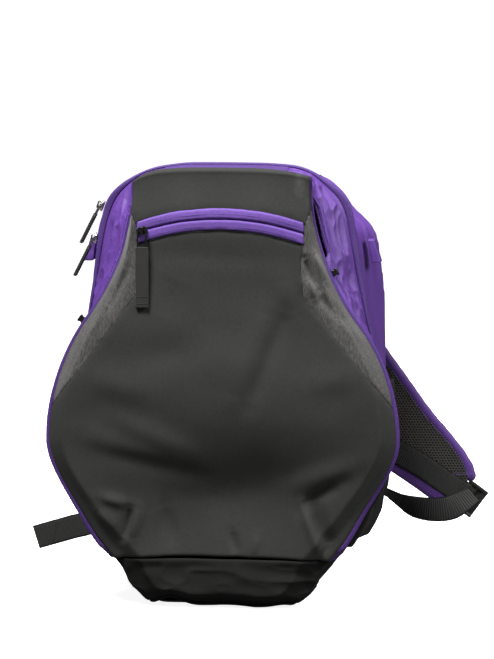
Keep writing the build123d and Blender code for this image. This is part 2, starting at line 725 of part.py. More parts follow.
for side_name, ((x, z), (ux, uz)) in LOCKS.items():
    lock_plane = Plane((x, LOCK_Y, z), (ux, 0, uz), (0, -1, 0))
    across = (-uz, 0, ux)
    with BuildPart() as ladder_lock:
        with BuildSketch(lock_plane.offset(-LOCK[2] / 2)):
            with Locations((LOCK[0] / 2 - 2.4, 0)):
                with GridLocations(0, LOCK[1] - LOCK_RAIL, 1, 2):
                    RectangleRounded(LOCK[0], LOCK_RAIL, 1.2)
        extrude(amount=LOCK[2])
        for bar in LOCK_BARS:
            bar_plane = Plane((x + ux * bar, LOCK_Y, z + uz * bar), (ux, 0, uz), across)
            with BuildSketch(bar_plane.offset(-LOCK[1] / 2 + 1)):
                Circle(LOCK_BAR_R)
            extrude(amount=LOCK[1] - 2)
        with BuildSketch(lock_plane.offset(-LOCK[2] / 2)):
            with Locations(((LOCK_LIP[0] + LOCK_LIP[1]) / 2, 0)):
                Rectangle(LOCK_LIP[1] - LOCK_LIP[0], LOCK[1] - 4)
        extrude(amount=LOCK[2] - 1.4)
    save(ladder_lock.part, f"{side_name}_ladder_lock")
    # Loop sewn in the strap's end, round the lock's first bar with running room.
    strap_face = strap_profile(STRAPS[side_name], 0.1)
    strap_rim = strap_profile(STRAPS[side_name], BINDING + 0.1)
    with BuildPart() as lock_loop:
        with BuildSketch(Plane((x, LOCK_Y, z), (ux, 0, uz), across).offset(-WEBBING / 2)):
            Circle(LOCK_BAR_R + 1.9)
            with Locations((-LOOP_REACH / 2, 0)):
                Rectangle(LOOP_REACH, 3.2)
            Circle(LOCK_BAR_R + 0.5, mode=Mode.SUBTRACT)
        extrude(amount=WEBBING)
        add(depth_slab(strap_face, STRAP_MESH_Y - 1, PAD_HIGH_Y + 1), mode=Mode.SUBTRACT)
        add(depth_slab(strap_rim, STRAP_MESH_Y + 0.3, PAD_HIGH_Y - 0.7), mode=Mode.SUBTRACT)
    save(lock_loop.part, f"{side_name}_lock_loop")

for side_name, path in RUNS.items():
    run_y = STRAP_MESH_Y - 0.2
    run = depth_slab(strip_profile(path, WEBBING), run_y - WEBBING_THICK, run_y)
    save(run, f"{side_name}_lower_webbing")

for side_name, path in TAILS.items():
    tail_y = STRAP_MESH_Y - WEBBING_THICK - 0.8
    tail = depth_slab(strip_profile(path, WEBBING), tail_y - WEBBING_THICK, tail_y)
    save(tail, f"{side_name}_webbing_tail")

# Anchor tabs: the sewn-on ends that the lower webbings come from.
for side, side_name in SIDES:
    run_start_z = RUNS[side_name][0][1]
    with BuildPart() as anchor_tab:
        with BuildSketch(depth_plane(PAD_Y + 0.1 + ANCHOR_TAB[2])):
            with Locations((side * ANCHOR_X, run_start_z - ANCHOR_TAB[1])):
                RectangleRounded(ANCHOR_TAB[0], ANCHOR_TAB[1], 4)
        extrude(amount=ANCHOR_TAB[2])
    save(anchor_tab.part, f"{side_name}_anchor_tab")
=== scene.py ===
"""Racket backpack: sewn cloth, zips, padded straps and webbing laid over the CAD frame.

Units are metres. +X is to the right seen from the front, +Y towards the straps, +Z up.
Each soft CAD solid is copied, meshed evenly, rounded at its edges and then shaped by
the folds and puckers of its cloth, so a piece always sits where its node sits.
"""
import math
import bpy
import numpy as np
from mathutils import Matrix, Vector
from mathutils.bvhtree import BVHTree
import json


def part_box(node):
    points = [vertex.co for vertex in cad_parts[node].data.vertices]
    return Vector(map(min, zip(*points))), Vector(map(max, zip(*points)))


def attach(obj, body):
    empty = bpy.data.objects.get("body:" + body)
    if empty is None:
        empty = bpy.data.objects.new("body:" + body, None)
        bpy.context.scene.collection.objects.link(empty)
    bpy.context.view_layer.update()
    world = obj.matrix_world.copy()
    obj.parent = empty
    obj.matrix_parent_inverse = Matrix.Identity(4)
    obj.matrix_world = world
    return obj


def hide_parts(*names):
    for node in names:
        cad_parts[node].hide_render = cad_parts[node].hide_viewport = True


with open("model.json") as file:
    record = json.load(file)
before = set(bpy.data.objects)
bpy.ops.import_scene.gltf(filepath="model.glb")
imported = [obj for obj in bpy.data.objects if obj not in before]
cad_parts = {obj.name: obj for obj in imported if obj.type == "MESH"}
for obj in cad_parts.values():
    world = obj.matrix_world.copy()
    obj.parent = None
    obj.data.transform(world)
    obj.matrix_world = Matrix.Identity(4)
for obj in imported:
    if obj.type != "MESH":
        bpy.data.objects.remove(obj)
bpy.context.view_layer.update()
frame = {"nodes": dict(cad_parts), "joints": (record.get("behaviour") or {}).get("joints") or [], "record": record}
NODES = frame["nodes"]
JOINTS = {joint["name"]: joint for joint in frame["joints"]}
BODY_OF = {
    node: body
    for body, members in frame["record"]["behaviour"]["bodies"].items()
    for node in members
}
SLOT_OF = {part["node"]: part["material_slot"] for part in frame["record"]["subparts"]}
SIDES = (("left", -1), ("right", 1))


# ---------- numbers and noise
def smoothstep(low, high, value):
    """0 below low, 1 above high and a smooth ramp between."""
    t = np.clip((value - low) / (high - low), 0.0, 1.0)
    return t * t * (3.0 - 2.0 * t)


def lattice_value(cells, seed):
    """A fixed pseudo-random number from -1 to 1 for each whole-number cell."""
    wave = np.sin(cells @ np.array([127.1, 311.7, 74.7]) + seed * 53.3) * 43758.5453
    return 2.0 * (wave - np.floor(wave)) - 1.0


def bumps(points, size, seed, stretch=(1, 1, 1)):
    """Smooth random heights from -1 to 1; a bump is about size metres, times stretch."""
    scaled = points / (np.array(stretch) * size)
    base = np.floor(scaled)
    part = scaled - base
    part = part * part * (3.0 - 2.0 * part)
    total = np.zeros(len(points))
    for corner in np.ndindex(2, 2, 2):
        corner = np.array(corner)
        weight = np.prod(np.where(corner == 1, part, 1.0 - part), axis=1)
        total += weight * lattice_value(base + corner, seed)
    return total


def creases(points, size, seed, stretch=(1, 1, 1)):
    """Sharp folded heights from 0 to 1, as thin crisp cloth takes."""
    return 1.0 - np.abs(bumps(points, size, seed, stretch)) ** 0.75


def fold(points, start, end, width, height):
    """A fold of that height along the segment from start to end in the XZ plane."""
    start, end = np.array(start), np.array(end)
    flat = points[:, [0, 2]] - start
    run = end - start
    along = np.clip(flat @ run / (run @ run), 0.0, 1.0)
    away = np.linalg.norm(flat - along[:, None] * run, axis=1)
    taper = np.sin(np.pi * np.clip(along, 0.04, 0.96)) ** 0.5
    return height * taper * np.exp(-((away / width) ** 2))


# ---------- meshes
def points_of(piece):
    """The mesh's points as an array, one row each."""
    flat = np.empty(len(piece.data.vertices) * 3)
    piece.data.vertices.foreach_get("co", flat)
    return flat.reshape(-1, 3)


def normals_of(piece):
    """The mesh's vertex normals as an array, one row each."""
    flat = np.empty(len(piece.data.vertices) * 3)
    piece.data.vertex_normals.foreach_get("vector", flat)
    return flat.reshape(-1, 3)


def set_points(piece, points):
    """Write the points back to the mesh."""
    piece.data.vertices.foreach_set("co", points.ravel())
    piece.data.update()


def grown(piece, amount):
    """The mesh's points moved out along their normals, by one amount or by one each."""
    return points_of(piece) + normals_of(piece) * np.reshape(amount, (-1, 1))


def settle(piece):
    """Write the result of the piece's modifiers into its mesh."""
    graph = bpy.context.evaluated_depsgraph_get()
    mesh = bpy.data.meshes.new_from_object(piece.evaluated_get(graph))
    piece.modifiers.clear()
    piece.data = mesh


def new_piece(name, points, faces):
    """A smooth-shaded mesh object made from points and faces."""
    mesh = bpy.data.meshes.new(name)
    mesh.from_pydata([tuple(point) for point in points], [], faces)
    mesh.shade_smooth()
    piece = bpy.data.objects.new(name, mesh)
    bpy.context.scene.collection.objects.link(piece)
    return piece


def ring_points(centre, long_way, wide_way, count, power=2):
    """Points round a centre: an ellipse for power 2, and a squarer ring for a higher one."""
    ring = []
    for index in range(count):
        angle = 2 * math.pi * index / count
        along = math.cos(angle)
        aside = math.sin(angle)
        bulge = (abs(along) ** power + abs(aside) ** power) ** (-1 / power)
        ring.append(centre + long_way * (along * bulge) + wide_way * (aside * bulge))
    return ring


def tube_faces(rows, sides, first=0):
    """Faces that join rows of closed rings of points, with a cap at each end."""
    faces = [tuple(range(first, first + sides))[::-1]]
    for row in range(rows - 1):
        start = first + row * sides
        for index in range(sides):
            after = (index + 1) % sides
            faces.append((start + index, start + after, start + sides + after, start + sides + index))
    last = first + (rows - 1) * sides
    faces.append(tuple(range(last, last + sides)))
    return faces


# Each ring of a bead: its share of the width, and its share of the height.
BEAD_RINGS = ((0.72, 0.0), (1.0, 0.45), (0.86, 0.85), (0.4, 1.0))
BEAD_SIDES = 8
BEAD_SUNK = 0.3


def bead_row(name, places, aims, size):
    """Small rounded beads; each aim is (the way it is long, the way it stands up)."""
    length, width, height = size
    points = []
    faces = []
    for place, (long_way, up) in zip(places, aims):
        wide = long_way.cross(up).normalized()
        faces += tube_faces(len(BEAD_RINGS), BEAD_SIDES, len(points))
        for share, tall in BEAD_RINGS:
            centre = Vector(place) + up * ((tall - BEAD_SUNK) * height)
            points += ring_points(centre, long_way * (share * length / 2), wide * (share * width / 2),
                                  BEAD_SIDES)
    return new_piece(name, points, faces)


def even_copy(node, voxel, rounding):
    """The CAD solid as a new, evenly meshed piece whose edges are rounded."""
    piece = bpy.data.objects.new(node + "_cloth", NODES[node].data.copy())
    bpy.context.scene.collection.objects.link(piece)
    even = piece.modifiers.new("even", "REMESH")
    even.mode = "VOXEL"
    even.voxel_size = voxel
    soften = piece.modifiers.new("soften", "SMOOTH")
    soften.factor = 0.5
    soften.iterations = rounding
    settle(piece)
    piece.data.shade_smooth()
    return piece


def swell(piece, pressure, cap, frames=20):
    """Blow a closed pad up by cloth simulation; no point moves more than cap metres."""
    start = points_of(piece)
    cloth = piece.modifiers.new("cloth", "CLOTH")
    cloth.settings.use_pressure = True
    cloth.settings.uniform_pressure_force = pressure
    cloth.settings.effector_weights.gravity = 0.0
    for step in range(1, frames + 1):
        bpy.context.scene.frame_set(step)
    settle(piece)
    bpy.context.scene.frame_set(1)
    move = points_of(piece) - start
    length = np.linalg.norm(move, axis=1, keepdims=True)
    set_points(piece, start + move * np.minimum(1.0, cap / np.maximum(length, 1e-9)))
    finer = piece.modifiers.new("finer", "SUBSURF")
    finer.levels = 1
    settle(piece)
    piece.data.shade_smooth()


def tree_of(names):
    """One search tree over the meshes of several CAD nodes."""
    points = []
    faces = []
    for name in names:
        mesh = NODES[name].data
        first = len(points)
        points += [vertex.co for vertex in mesh.vertices]
        faces += [[first + index for index in polygon.vertices] for polygon in mesh.polygons]
    return BVHTree.FromPolygons(points, faces)


def distance_to(points, names):
    """Each point's distance to the nearest of those CAD nodes, up to 30 mm."""
    tree = tree_of(names)
    found = [tree.find_nearest(Vector(point), 0.03)[3] for point in points]
    return np.array([0.03 if away is None else away for away in found])


def finish_piece(piece, node, look=None):
    """Let a piece stand for its CAD node, in its slot's material or in another look."""
    piece.data.materials.clear()
    piece.data.materials.append(MATERIALS[look or SLOT_OF[node]])
    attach(piece, BODY_OF[node])
    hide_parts(node)


def finish_extra(piece, body, slot, look=None):
    """Give a piece that stands for no CAD node its material, body and slot."""
    piece.data.materials.append(MATERIALS[look or slot])
    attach(piece, body)


# ---------- material nodes
def add(tree, kind, inputs=None, **settings):
    """A shader node with its settings, and its inputs linked or set."""
    made = tree.nodes.new(kind)
    for key, value in settings.items():
        setattr(made, key, value)
    for key, value in (inputs or {}).items():
        if isinstance(value, bpy.types.NodeSocket):
            tree.links.new(value, made.inputs[key])
        else:
            made.inputs[key].default_value = value
    return made


def maths(tree, operation, first, second=0.0):
    """The result socket of one Math node."""
    return add(tree, "ShaderNodeMath", {0: first, 1: second}, operation=operation).outputs[0]


def vectors(tree, operation, first, second=(0, 0, 0), out="Vector"):
    """The result socket of one Vector Math node."""
    made = add(tree, "ShaderNodeVectorMath", {0: first, 1: second}, operation=operation)
    return made.outputs[out]


def blend_colour(tree, factor, first, second):
    """The colour between first and second."""
    inputs = {0: factor, 6: first, 7: second}
    return add(tree, "ShaderNodeMix", inputs, data_type="RGBA").outputs[2]


def ramp(tree, value, low, high, to_low=0.0, to_high=1.0):
    """A value mapped from one range to another and clamped."""
    inputs = {"Value": value, 1: low, 2: high, 3: to_low, 4: to_high}
    return add(tree, "ShaderNodeMapRange", inputs).outputs[0]


def grain(tree, place, scale, detail=3.0):
    """Noise from 0 to 1 at that many bumps per metre."""
    inputs = {"Vector": place, "Scale": scale, "Detail": detail}
    return add(tree, "ShaderNodeTexNoise", inputs).outputs[0]


def start_material(name, roughness, specular=0.35):
    """An empty Principled material with its tree, shader and object coordinates."""
    material = bpy.data.materials.new(name)
    material.use_nodes = True
    tree = material.node_tree
    shader = tree.nodes["Principled BSDF"]
    shader.inputs["Roughness"].default_value = roughness
    shader.inputs["Specular IOR Level"].default_value = specular
    place = add(tree, "ShaderNodeTexCoord").outputs["Object"]
    return material, tree, shader, place


def plain_weave(tree, place, pitch):
    """Relief of a plain weave, from -1 to 1: threads that run round the bag and upward."""
    spot = add(tree, "ShaderNodeSeparateXYZ", {0: place}).outputs
    turn = 2.0 * math.pi / pitch
    across = maths(tree, "ADD", spot[0], spot[1])
    upward = maths(tree, "ADD", spot[2], maths(tree, "MULTIPLY", spot[1], 0.3))
    warp = maths(tree, "SINE", maths(tree, "MULTIPLY", across, turn))
    weft = maths(tree, "SINE", maths(tree, "MULTIPLY", upward, turn))
    return maths(tree, "MULTIPLY", warp, weft)


def finish_material(material, tone, height, strength=0.5, depth=0.0003):
    """Give a material its colour and its relief, and hand it back."""
    tree = material.node_tree
    shader = tree.nodes["Principled BSDF"]
    inputs = {"Height": height, "Strength": strength, "Distance": depth}
    bump = add(tree, "ShaderNodeBump", inputs)
    tree.links.new(bump.outputs[0], shader.inputs["Normal"])
    tree.links.new(tone, shader.inputs["Base Color"])
    return material


def rgba(colour, gain=1.0):
    """A colour times a gain, with its alpha."""
    return (*[part * gain for part in colour], 1.0)


# The rubbed patch is narrower than it is tall: its distances count for this much.
RUBBED_SHAPE = (1.3, 0.5, 0.7)


def cloth_material(name, colour, spread=0.25, pitch=0.0009, roughness=0.85, sheen=0.15,
                   specular=0.3, crinkle=0.0, rubbed=None):
    """Woven cloth: thread relief, mottled dye, and a place where it is rubbed pale."""
    material, tree, shader, place = start_material(name, roughness, specular)
    weave = plain_weave(tree, place, pitch)
    mottle = grain(tree, place, 22.0)
    fibre = grain(tree, place, 900.0, 2.0)
    tone = blend_colour(tree, mottle, rgba(colour, 1 - spread), rgba(colour, 1 + spread))
    thread = ramp(tree, weave, -1.0, 1.0, 0.0, 0.5)
    tone = blend_colour(tree, thread, tone, rgba(colour, 0.62))
    tone = blend_colour(tree, ramp(tree, fibre, 0.5, 0.75, 0.0, 0.3), tone, rgba(colour, 1.5))
    slub = grain(tree, place, 420.0, 2.0)
    tone = blend_colour(tree, ramp(tree, slub, 0.45, 0.70, 0.0, 0.35), tone, rgba(colour, 0.55))
    if rubbed:
        centre, reach, pale = rubbed
        middle = tuple(part * gain for part, gain in zip(centre, RUBBED_SHAPE))
        spot = vectors(tree, "MULTIPLY", place, RUBBED_SHAPE)
        away = vectors(tree, "DISTANCE", spot, middle, "Value")
        torn = maths(tree, "MULTIPLY", grain(tree, place, 130.0), reach * 1.6)
        ragged = maths(tree, "ADD", away, torn)
        worn = ramp(tree, ragged, reach * 0.8, reach * 1.8, 0.6, 0.0)
        tone = blend_colour(tree, worn, tone, rgba(pale))
    rough = ramp(tree, mottle, 0.2, 0.8, roughness - 0.06, roughness + 0.06)
    tree.links.new(rough, shader.inputs["Roughness"])
    shader.inputs["Sheen Weight"].default_value = sheen
    shader.inputs["Sheen Roughness"].default_value = 0.4
    shader.inputs["Sheen Tint"].default_value = rgba(colour, 1.5)
    height = maths(tree, "MULTIPLY", weave, 0.25)
    if crinkle:
        fine = maths(tree, "ABSOLUTE", maths(tree, "SUBTRACT", grain(tree, place, 110.0), 0.5))
        height = maths(tree, "ADD", height, maths(tree, "MULTIPLY", fine, crinkle))
    return finish_material(material, tone, height)


def heather_material():
    """Two-tone melange cloth whose pale and dark yarns run mostly upright."""
    colour = (0.065, 0.063, 0.061)
    material, tree, shader, place = start_material("heather_polyester", 0.9, 0.2)
    streaks = vectors(tree, "MULTIPLY", place, (1.0, 1.0, 0.14))
    yarn = ramp(tree, grain(tree, streaks, 1500.0, 3.0), 0.36, 0.64)
    broad = grain(tree, streaks, 160.0, 2.0)
    tone = blend_colour(tree, yarn, rgba(colour, 0.55), rgba(colour, 1.5))
    tone = blend_colour(tree, ramp(tree, broad, 0.4, 0.7, 0.0, 0.4), tone, rgba(colour, 0.7))
    shader.inputs["Sheen Weight"].default_value = 0.2
    height = maths(tree, "ADD", yarn, maths(tree, "MULTIPLY", plain_weave(tree, place, 0.001), 0.3))
    return finish_material(material, tone, height)


def mesh_material():
    """Spacer mesh: rows of round holes, each row half a step from the next, painted near black inside as painted
    shade.
    """
    step = 0.0031
    hole = 0.00100
    colour = (0.044, 0.041, 0.036)
    material, tree, _, place = start_material("spacer_mesh", 0.8, 0.3)
    rows = (step, 1.0, step * math.sqrt(3.0))
    cell = vectors(tree, "MULTIPLY", place, (1 / rows[0], 0.0, 1 / rows[2]))
    nearest = None
    for shift in (0.0, 0.5):
        moved = vectors(tree, "ADD", cell, (shift, 0.0, shift))
        inside = vectors(tree, "SUBTRACT", vectors(tree, "FRACTION", moved), (0.5, 0.0, 0.5))
        # A fraction runs from 0 to 1 across a cell, so the hole's middle is at 0.5.
        away = vectors(tree, "LENGTH", vectors(tree, "MULTIPLY", inside, rows), out="Value")
        nearest = away if nearest is None else maths(tree, "MINIMUM", nearest, away)
    cloth = ramp(tree, nearest, hole * 0.75, hole * 1.25)
    fibre = grain(tree, place, 700.0)
    tone = blend_colour(tree, fibre, rgba(colour, 0.7), rgba(colour, 1.5))
    # The holes are painted near black: painted shade for the hollow inside each hole.
    tone = blend_colour(tree, cloth, (0.002, 0.002, 0.002, 1.0), tone)
    height = maths(tree, "ADD", cloth, maths(tree, "MULTIPLY", fibre, 0.2))
    return finish_material(material, tone, height, 1.0, 0.0008)


def webbing_material(name, colour):
    """Ribbed webbing: its meshes hold each point's place on its rib; the valleys get painted shade and the crests
    a painted highlight.
    """
    material, tree, shader, place = start_material(name, 0.7, 0.4)
    fibre = grain(tree, place, 1500.0)
    dust = grain(tree, place, 60.0)
    rib = add(tree, "ShaderNodeAttribute", attribute_name="rib").outputs["Fac"]
    tone = blend_colour(tree, fibre, rgba(colour, 0.7), rgba(colour, 1.5))
    # Painted shade in the rib valleys, then a painted highlight on the rib crests.
    tone = blend_colour(tree, ramp(tree, rib, -0.6, -1.0, 0.0, 0.75), tone, rgba(colour, 0.25))
    tone = blend_colour(tree, ramp(tree, rib, 0.5, 1.0, 0.0, 0.6), tone, rgba(colour, 3.2))
    tone = blend_colour(tree, ramp(tree, dust, 0.45, 0.75, 0.0, 0.35), tone, rgba(colour, 2.0))
    shader.inputs["Sheen Weight"].default_value = 0.2
    return finish_material(material, tone, fibre)


def zip_material(name, colour, pitch):
    """Zip coil: ribs across the way the zip runs, whether it runs along X or along Z, with painted shade between
    the ribs and a painted highlight on them.
    """
    material, tree, _, place = start_material(name, 0.45, 0.5)
    normal = add(tree, "ShaderNodeNewGeometry").outputs["Normal"]
    towards = add(tree, "ShaderNodeSeparateXYZ", {0: normal}).outputs
    spot = add(tree, "ShaderNodeSeparateXYZ", {0: place}).outputs
    turn = 2.0 * math.pi / pitch
    across = maths(tree, "SINE", maths(tree, "MULTIPLY", spot[0], turn))
    upright = maths(tree, "SINE", maths(tree, "MULTIPLY", spot[2], turn))
    side_face = maths(tree, "ABSOLUTE", towards[0])
    ribs = add(tree, "ShaderNodeMix", {0: side_face, 2: across, 3: upright}).outputs[0]
    # Painted shade in the grooves between the coil's ribs and a painted highlight on their crests.
    tone = blend_colour(tree, ramp(tree, ribs, -0.6, 0.6), rgba(colour, 0.35), rgba(colour, 1.3))
    return finish_material(material, tone, ribs, 0.8, 0.0004)


def hard_material(name, colour, roughness, metallic=0.0, wear=(0.12, 0.12, 0.12)):
    """Moulded plastic, painted metal or plated metal, with fine scuffs."""
    material, tree, shader, place = start_material(name, roughness, 0.5)
    scuff = grain(tree, place, 900.0, 4.0)
    patch = grain(tree, place, 180.0, 2.0)
    tone = blend_colour(tree, patch, rgba(colour, 0.8), rgba(colour, 1.25))
    tone = blend_colour(tree, ramp(tree, scuff, 0.62, 0.72, 0.0, 0.5), tone, rgba(wear))
    shader.inputs["Metallic"].default_value = metallic
    rough = ramp(tree, patch, 0.3, 0.7, roughness * 0.8, roughness * 1.3)
    tree.links.new(rough, shader.inputs["Roughness"])
    return finish_material(material, tone, scuff, 0.3, 0.0002)


def board_material():
    """Pressed stiffener board under the floor of the bag."""
    material, tree, _, place = start_material("stiffener_board", 0.8, 0.3)
    speck = grain(tree, place, 1200.0, 2.0)
    tone = blend_colour(tree, speck, (0.03, 0.03, 0.03, 1), (0.08, 0.08, 0.08, 1))
    return finish_material(material, tone, speck, 0.3, 0.0003)


CHARCOAL = (0.0285, 0.0295, 0.027)
NYLON = (0.112, 0.045, 0.262)
WELT = (0.142, 0.066, 0.335)
# The boot's black cloth, painted darker than the other black cloth: painted shade for a part that lies in shade.
BOOT_SHADED_BLACK = (0.0070, 0.0070, 0.0064)
PIPING = (0.070, 0.027, 0.175)
BLACK = (0.0085, 0.0082, 0.0080)
WEBBING = (0.0085, 0.0078, 0.0072)
# The rim pieces are the welt's cloth, painted 0.55 times as dark because they face up into the light: painted
# shade.
RIM_SHADED_WELT = (0.078, 0.036, 0.185)
BINDING = (0.088, 0.036, 0.205)
LINING = (0.020, 0.006, 0.050)
COIL = (0.17, 0.065, 0.42)
ACETAL = (0.012, 0.011, 0.010)
METAL = (0.018, 0.018, 0.018)
NICKEL = (0.62, 0.60, 0.57)
NICKEL_WORN = (0.3, 0.29, 0.27)
# The rubbed patch on the yoke: where it is, its reach and its colour.
RUBBED = ((0.077, -0.083, 0.424), 0.009, (0.075, 0.072, 0.064))

MATERIALS = {
    "charcoal_polyester": cloth_material("charcoal_polyester", CHARCOAL, sheen=0.05, rubbed=RUBBED),
    "heather_polyester": heather_material(),
    "purple_nylon": cloth_material("purple_nylon", NYLON, spread=0.22, pitch=0.0007, roughness=0.42,
                                   sheen=0.2, specular=0.4, crinkle=5.0),
    "purple_welt": cloth_material("purple_welt", WELT, spread=0.14, pitch=0.0008, roughness=0.65,
                                  sheen=0.25, specular=0.35),
    "piping": cloth_material("piping", PIPING, spread=0.2, pitch=0.0008, roughness=0.6, sheen=0.2),
    # The welt's cloth, darkened as painted shade for the rim pieces that face the light.
    "rim": cloth_material("rim", RIM_SHADED_WELT, spread=0.14, pitch=0.0008, roughness=0.6, sheen=0.2),
    "binding": cloth_material("binding", BINDING, spread=0.2, pitch=0.0008, roughness=0.6, sheen=0.2),
    "black_polyester": cloth_material("black_polyester", BLACK, spread=0.3, roughness=0.8),
    # Black cloth painted darker for the boot: painted shade.
    "boot": cloth_material("boot", BOOT_SHADED_BLACK, spread=0.3, sheen=0.05, specular=0.2),
    "spacer_mesh": mesh_material(),
    "black_webbing": webbing_material("black_webbing", WEBBING),
    "dark_lining": cloth_material("dark_lining", LINING, spread=0.2, roughness=0.6),
    "stiffener_board": board_material(),
    "zip_coil": zip_material("zip_coil", COIL, 0.0016),
    "black_acetal": hard_material("black_acetal", ACETAL, 0.32),
    "black_metal": hard_material("black_metal", METAL, 0.3, 0.6),
    "nickel": hard_material("nickel", NICKEL, 0.22, 1.0, NICKEL_WORN),
}


# ---------- cloth shapes
CORNER_X = abs(JOINTS["upper_slide"]["pos_m"][0])
CORNER_Z = JOINTS["upper_slide"]["pos_m"][2]
MIDDLE = np.array([0.0, 0.0, 0.22])
HALF_SIZE = np.array([0.17, 0.10, 0.23])

# The slack front has a belly, and a broad hollow under it that lies higher to the right.
BELLY_HEIGHT = 0.0070
BELLY_Z = 0.215
BELLY_TALL = 0.050
BELLY_WIDE = 0.120
HOLLOW_DEPTH = 0.0175
HOLLOW_X = 0.008
HOLLOW_Z = 0.104
HOLLOW_SLOPE = 0.10
HOLLOW_TALL_ABOVE = 0.046
HOLLOW_TALL_BELOW = 0.078
HOLLOW_WIDE = 0.122

# How far the slack shell hangs, sinks or is drawn in at each place.
CORNER_DROP = {-1: 0.0085, 1: 0.0030}
CROWN_DROP = 0.0015
SHOULDER_DROP = 0.0055
BACK_DROP = 0.0045
SHOULDER_SINK = 0.014
FOOT_TUCK = 0.0115
# The crown of the yoke's dome runs out backward, upward and to its sides.
DOME_BACK = 0.0080
DOME_UP = 0.0044
DOME_WIDE = 0.0022

# Start and end in x and z, then width and height: ridges are positive, creases negative.
FRONT_FOLDS = (
    ((0.030, 0.205), (0.066, 0.300), 0.009, -0.0026),
    ((0.014, 0.212), (0.046, 0.300), 0.013, 0.0022),
    ((-0.140, 0.178), (-0.050, 0.146), 0.014, 0.0034),
    ((-0.118, 0.158), (-0.020, 0.132), 0.010, -0.0026),
    ((0.140, 0.150), (0.070, 0.118), 0.012, 0.0034),
    ((0.125, 0.128), (0.092, 0.098), 0.008, -0.0036),
    ((-0.104, 0.100), (-0.112, 0.068), 0.0045, -0.0042),
    ((-0.094, 0.100), (-0.102, 0.068), 0.0060, 0.0032),
    ((-0.128, 0.112), (-0.104, 0.104), 0.0060, 0.0034),
    ((-0.134, 0.098), (-0.116, 0.080), 0.0060, 0.0024),
    ((0.106, 0.108), (0.120, 0.062), 0.0075, -0.0062),
    ((0.093, 0.106), (0.110, 0.060), 0.0045, 0.0034),
    ((-0.106, 0.192), (-0.030, 0.158), 0.012, 0.0030),
    ((-0.060, 0.098), (-0.050, 0.056), 0.0090, -0.0022),
    ((0.010, 0.074), (0.016, 0.052), 0.0045, -0.0026),
    ((0.038, 0.072), (0.032, 0.052), 0.0050, 0.0022),
    ((-0.086, 0.250), (-0.030, 0.262), 0.018, -0.0020),
    ((-0.130, 0.232), (-0.070, 0.214), 0.015, 0.0024),
    ((0.135, 0.236), (0.084, 0.226), 0.014, 0.0022),
    ((-0.040, 0.330), (-0.056, 0.290), 0.014, -0.0014),
    ((-0.070, 0.356), (0.060, 0.350), 0.012, -0.0012),
    ((0.060, 0.330), (0.072, 0.290), 0.010, 0.0014),
)
HEATHER_FOLDS = (
    ((0.085, 0.352), (0.098, 0.322), 0.0036, -0.0060),
    ((0.092, 0.356), (0.106, 0.330), 0.0046, 0.0042),
    ((0.086, 0.330), (0.094, 0.312), 0.0040, 0.0036),
    ((0.098, 0.316), (0.126, 0.286), 0.0050, -0.0034),
    ((0.118, 0.306), (0.140, 0.270), 0.0050, 0.0026),
    ((-0.092, 0.340), (-0.112, 0.300), 0.0050, -0.0032),
    ((-0.104, 0.345), (-0.122, 0.300), 0.0050, 0.0024),
)

FRONT_NODES = ("front_panel", "yoke_panel", "left_heather_panel", "right_heather_panel",
               "pocket_zip_welts", "front_piping")
# Voxel size and rounding of each front panel.
FRONT_PANELS = {
    "front_panel": (0.0018, 8), "yoke_panel": (0.0010, 12),
    "left_heather_panel": (0.0009, 8), "right_heather_panel": (0.0009, 8),
}
TOOTH_PITCH = 0.0018
SEAM_TOOTH_PITCH = 0.0021
# Length, width and height of each kind of tooth.
TOOTH_SIZE = (0.0022, 0.0011, 0.0010)
SEAM_TOOTH_SIZE = (0.0028, 0.0014, 0.0018)
# Node, voxel size, growth and look of each piece round the rims; the rim look is the welt's cloth with painted
# shade.
RIM_PIECES = (
    ("top_gusset", 0.0014, 0.0006, "rim"), ("top_panel", 0.0018, 0.0, "rim"),
    ("front_piping", 0.0008, 0.0007, "piping"), ("main_zip_front_tape", 0.0009, 0.0, "rim"),
    ("main_zip_back_tape", 0.0009, 0.0, "rim"), ("main_zip_coil", 0.0008, 0.0, "zip_coil"),
)
# Panels grow this much, so that their edges close up at the seams.
PANEL_GROWTH = 0.0010
SIDE_GROWTH = 0.0007
BACK_GROWTH = 0.0014
BOOT_GROWTH = 0.0005
# The pocket's welts stand this far above the front.
WELT_LIFT = 0.0013
# The floor of the bag lifts off what it stands on in these places: x, width, height.
DENTS = ((-0.052, 0.017, 0.009), (0.004, 0.030, 0.003), (0.064, 0.016, 0.004), (-0.100, 0.020, 0.006))
# The lowest height that any cloth reaches.
GROUND = 0.0003


def outward(points):
    """Unit vectors away from the middle of the bag, square to its rounded sides."""
    away = (points - MIDDLE) / HALF_SIZE ** 2
    return away / np.linalg.norm(away, axis=1, keepdims=True)


def sideways(points):
    """Unit vectors square to the sides, and round the top corners' circles to the top."""
    away = np.zeros_like(points)
    away[:, 0] = points[:, 0] - np.clip(points[:, 0], -CORNER_X, CORNER_X)
    away[:, 2] = np.maximum(points[:, 2] - CORNER_Z, 0.0)
    away[:, 2] += 1e-6
    return away / np.linalg.norm(away, axis=1, keepdims=True)


def facing(piece):
    """How squarely each point of a piece faces sideways, from -1 inward to 1 outward."""
    return np.sum(normals_of(piece) * sideways(points_of(piece)), axis=1)


def slump(points):
    """How far the whole sewn shell stands out or sinks in, the same for every panel."""
    return 0.0028 * bumps(points, 0.090, 1) + 0.0013 * bumps(points, 0.036, 2)


def add_folds(points, relief, folds):
    """A relief with a table's folds added to it."""
    for start, end, width, height in folds:
        relief = relief + fold(points, start, end, width, height)
    return relief


def crumple(points, layers):
    """Crisp creases in layers: the height, size, seed, stretch and level of each."""
    return sum(height * (creases(points, size, seed, stretch) - level)
               for height, size, seed, stretch, level in layers)


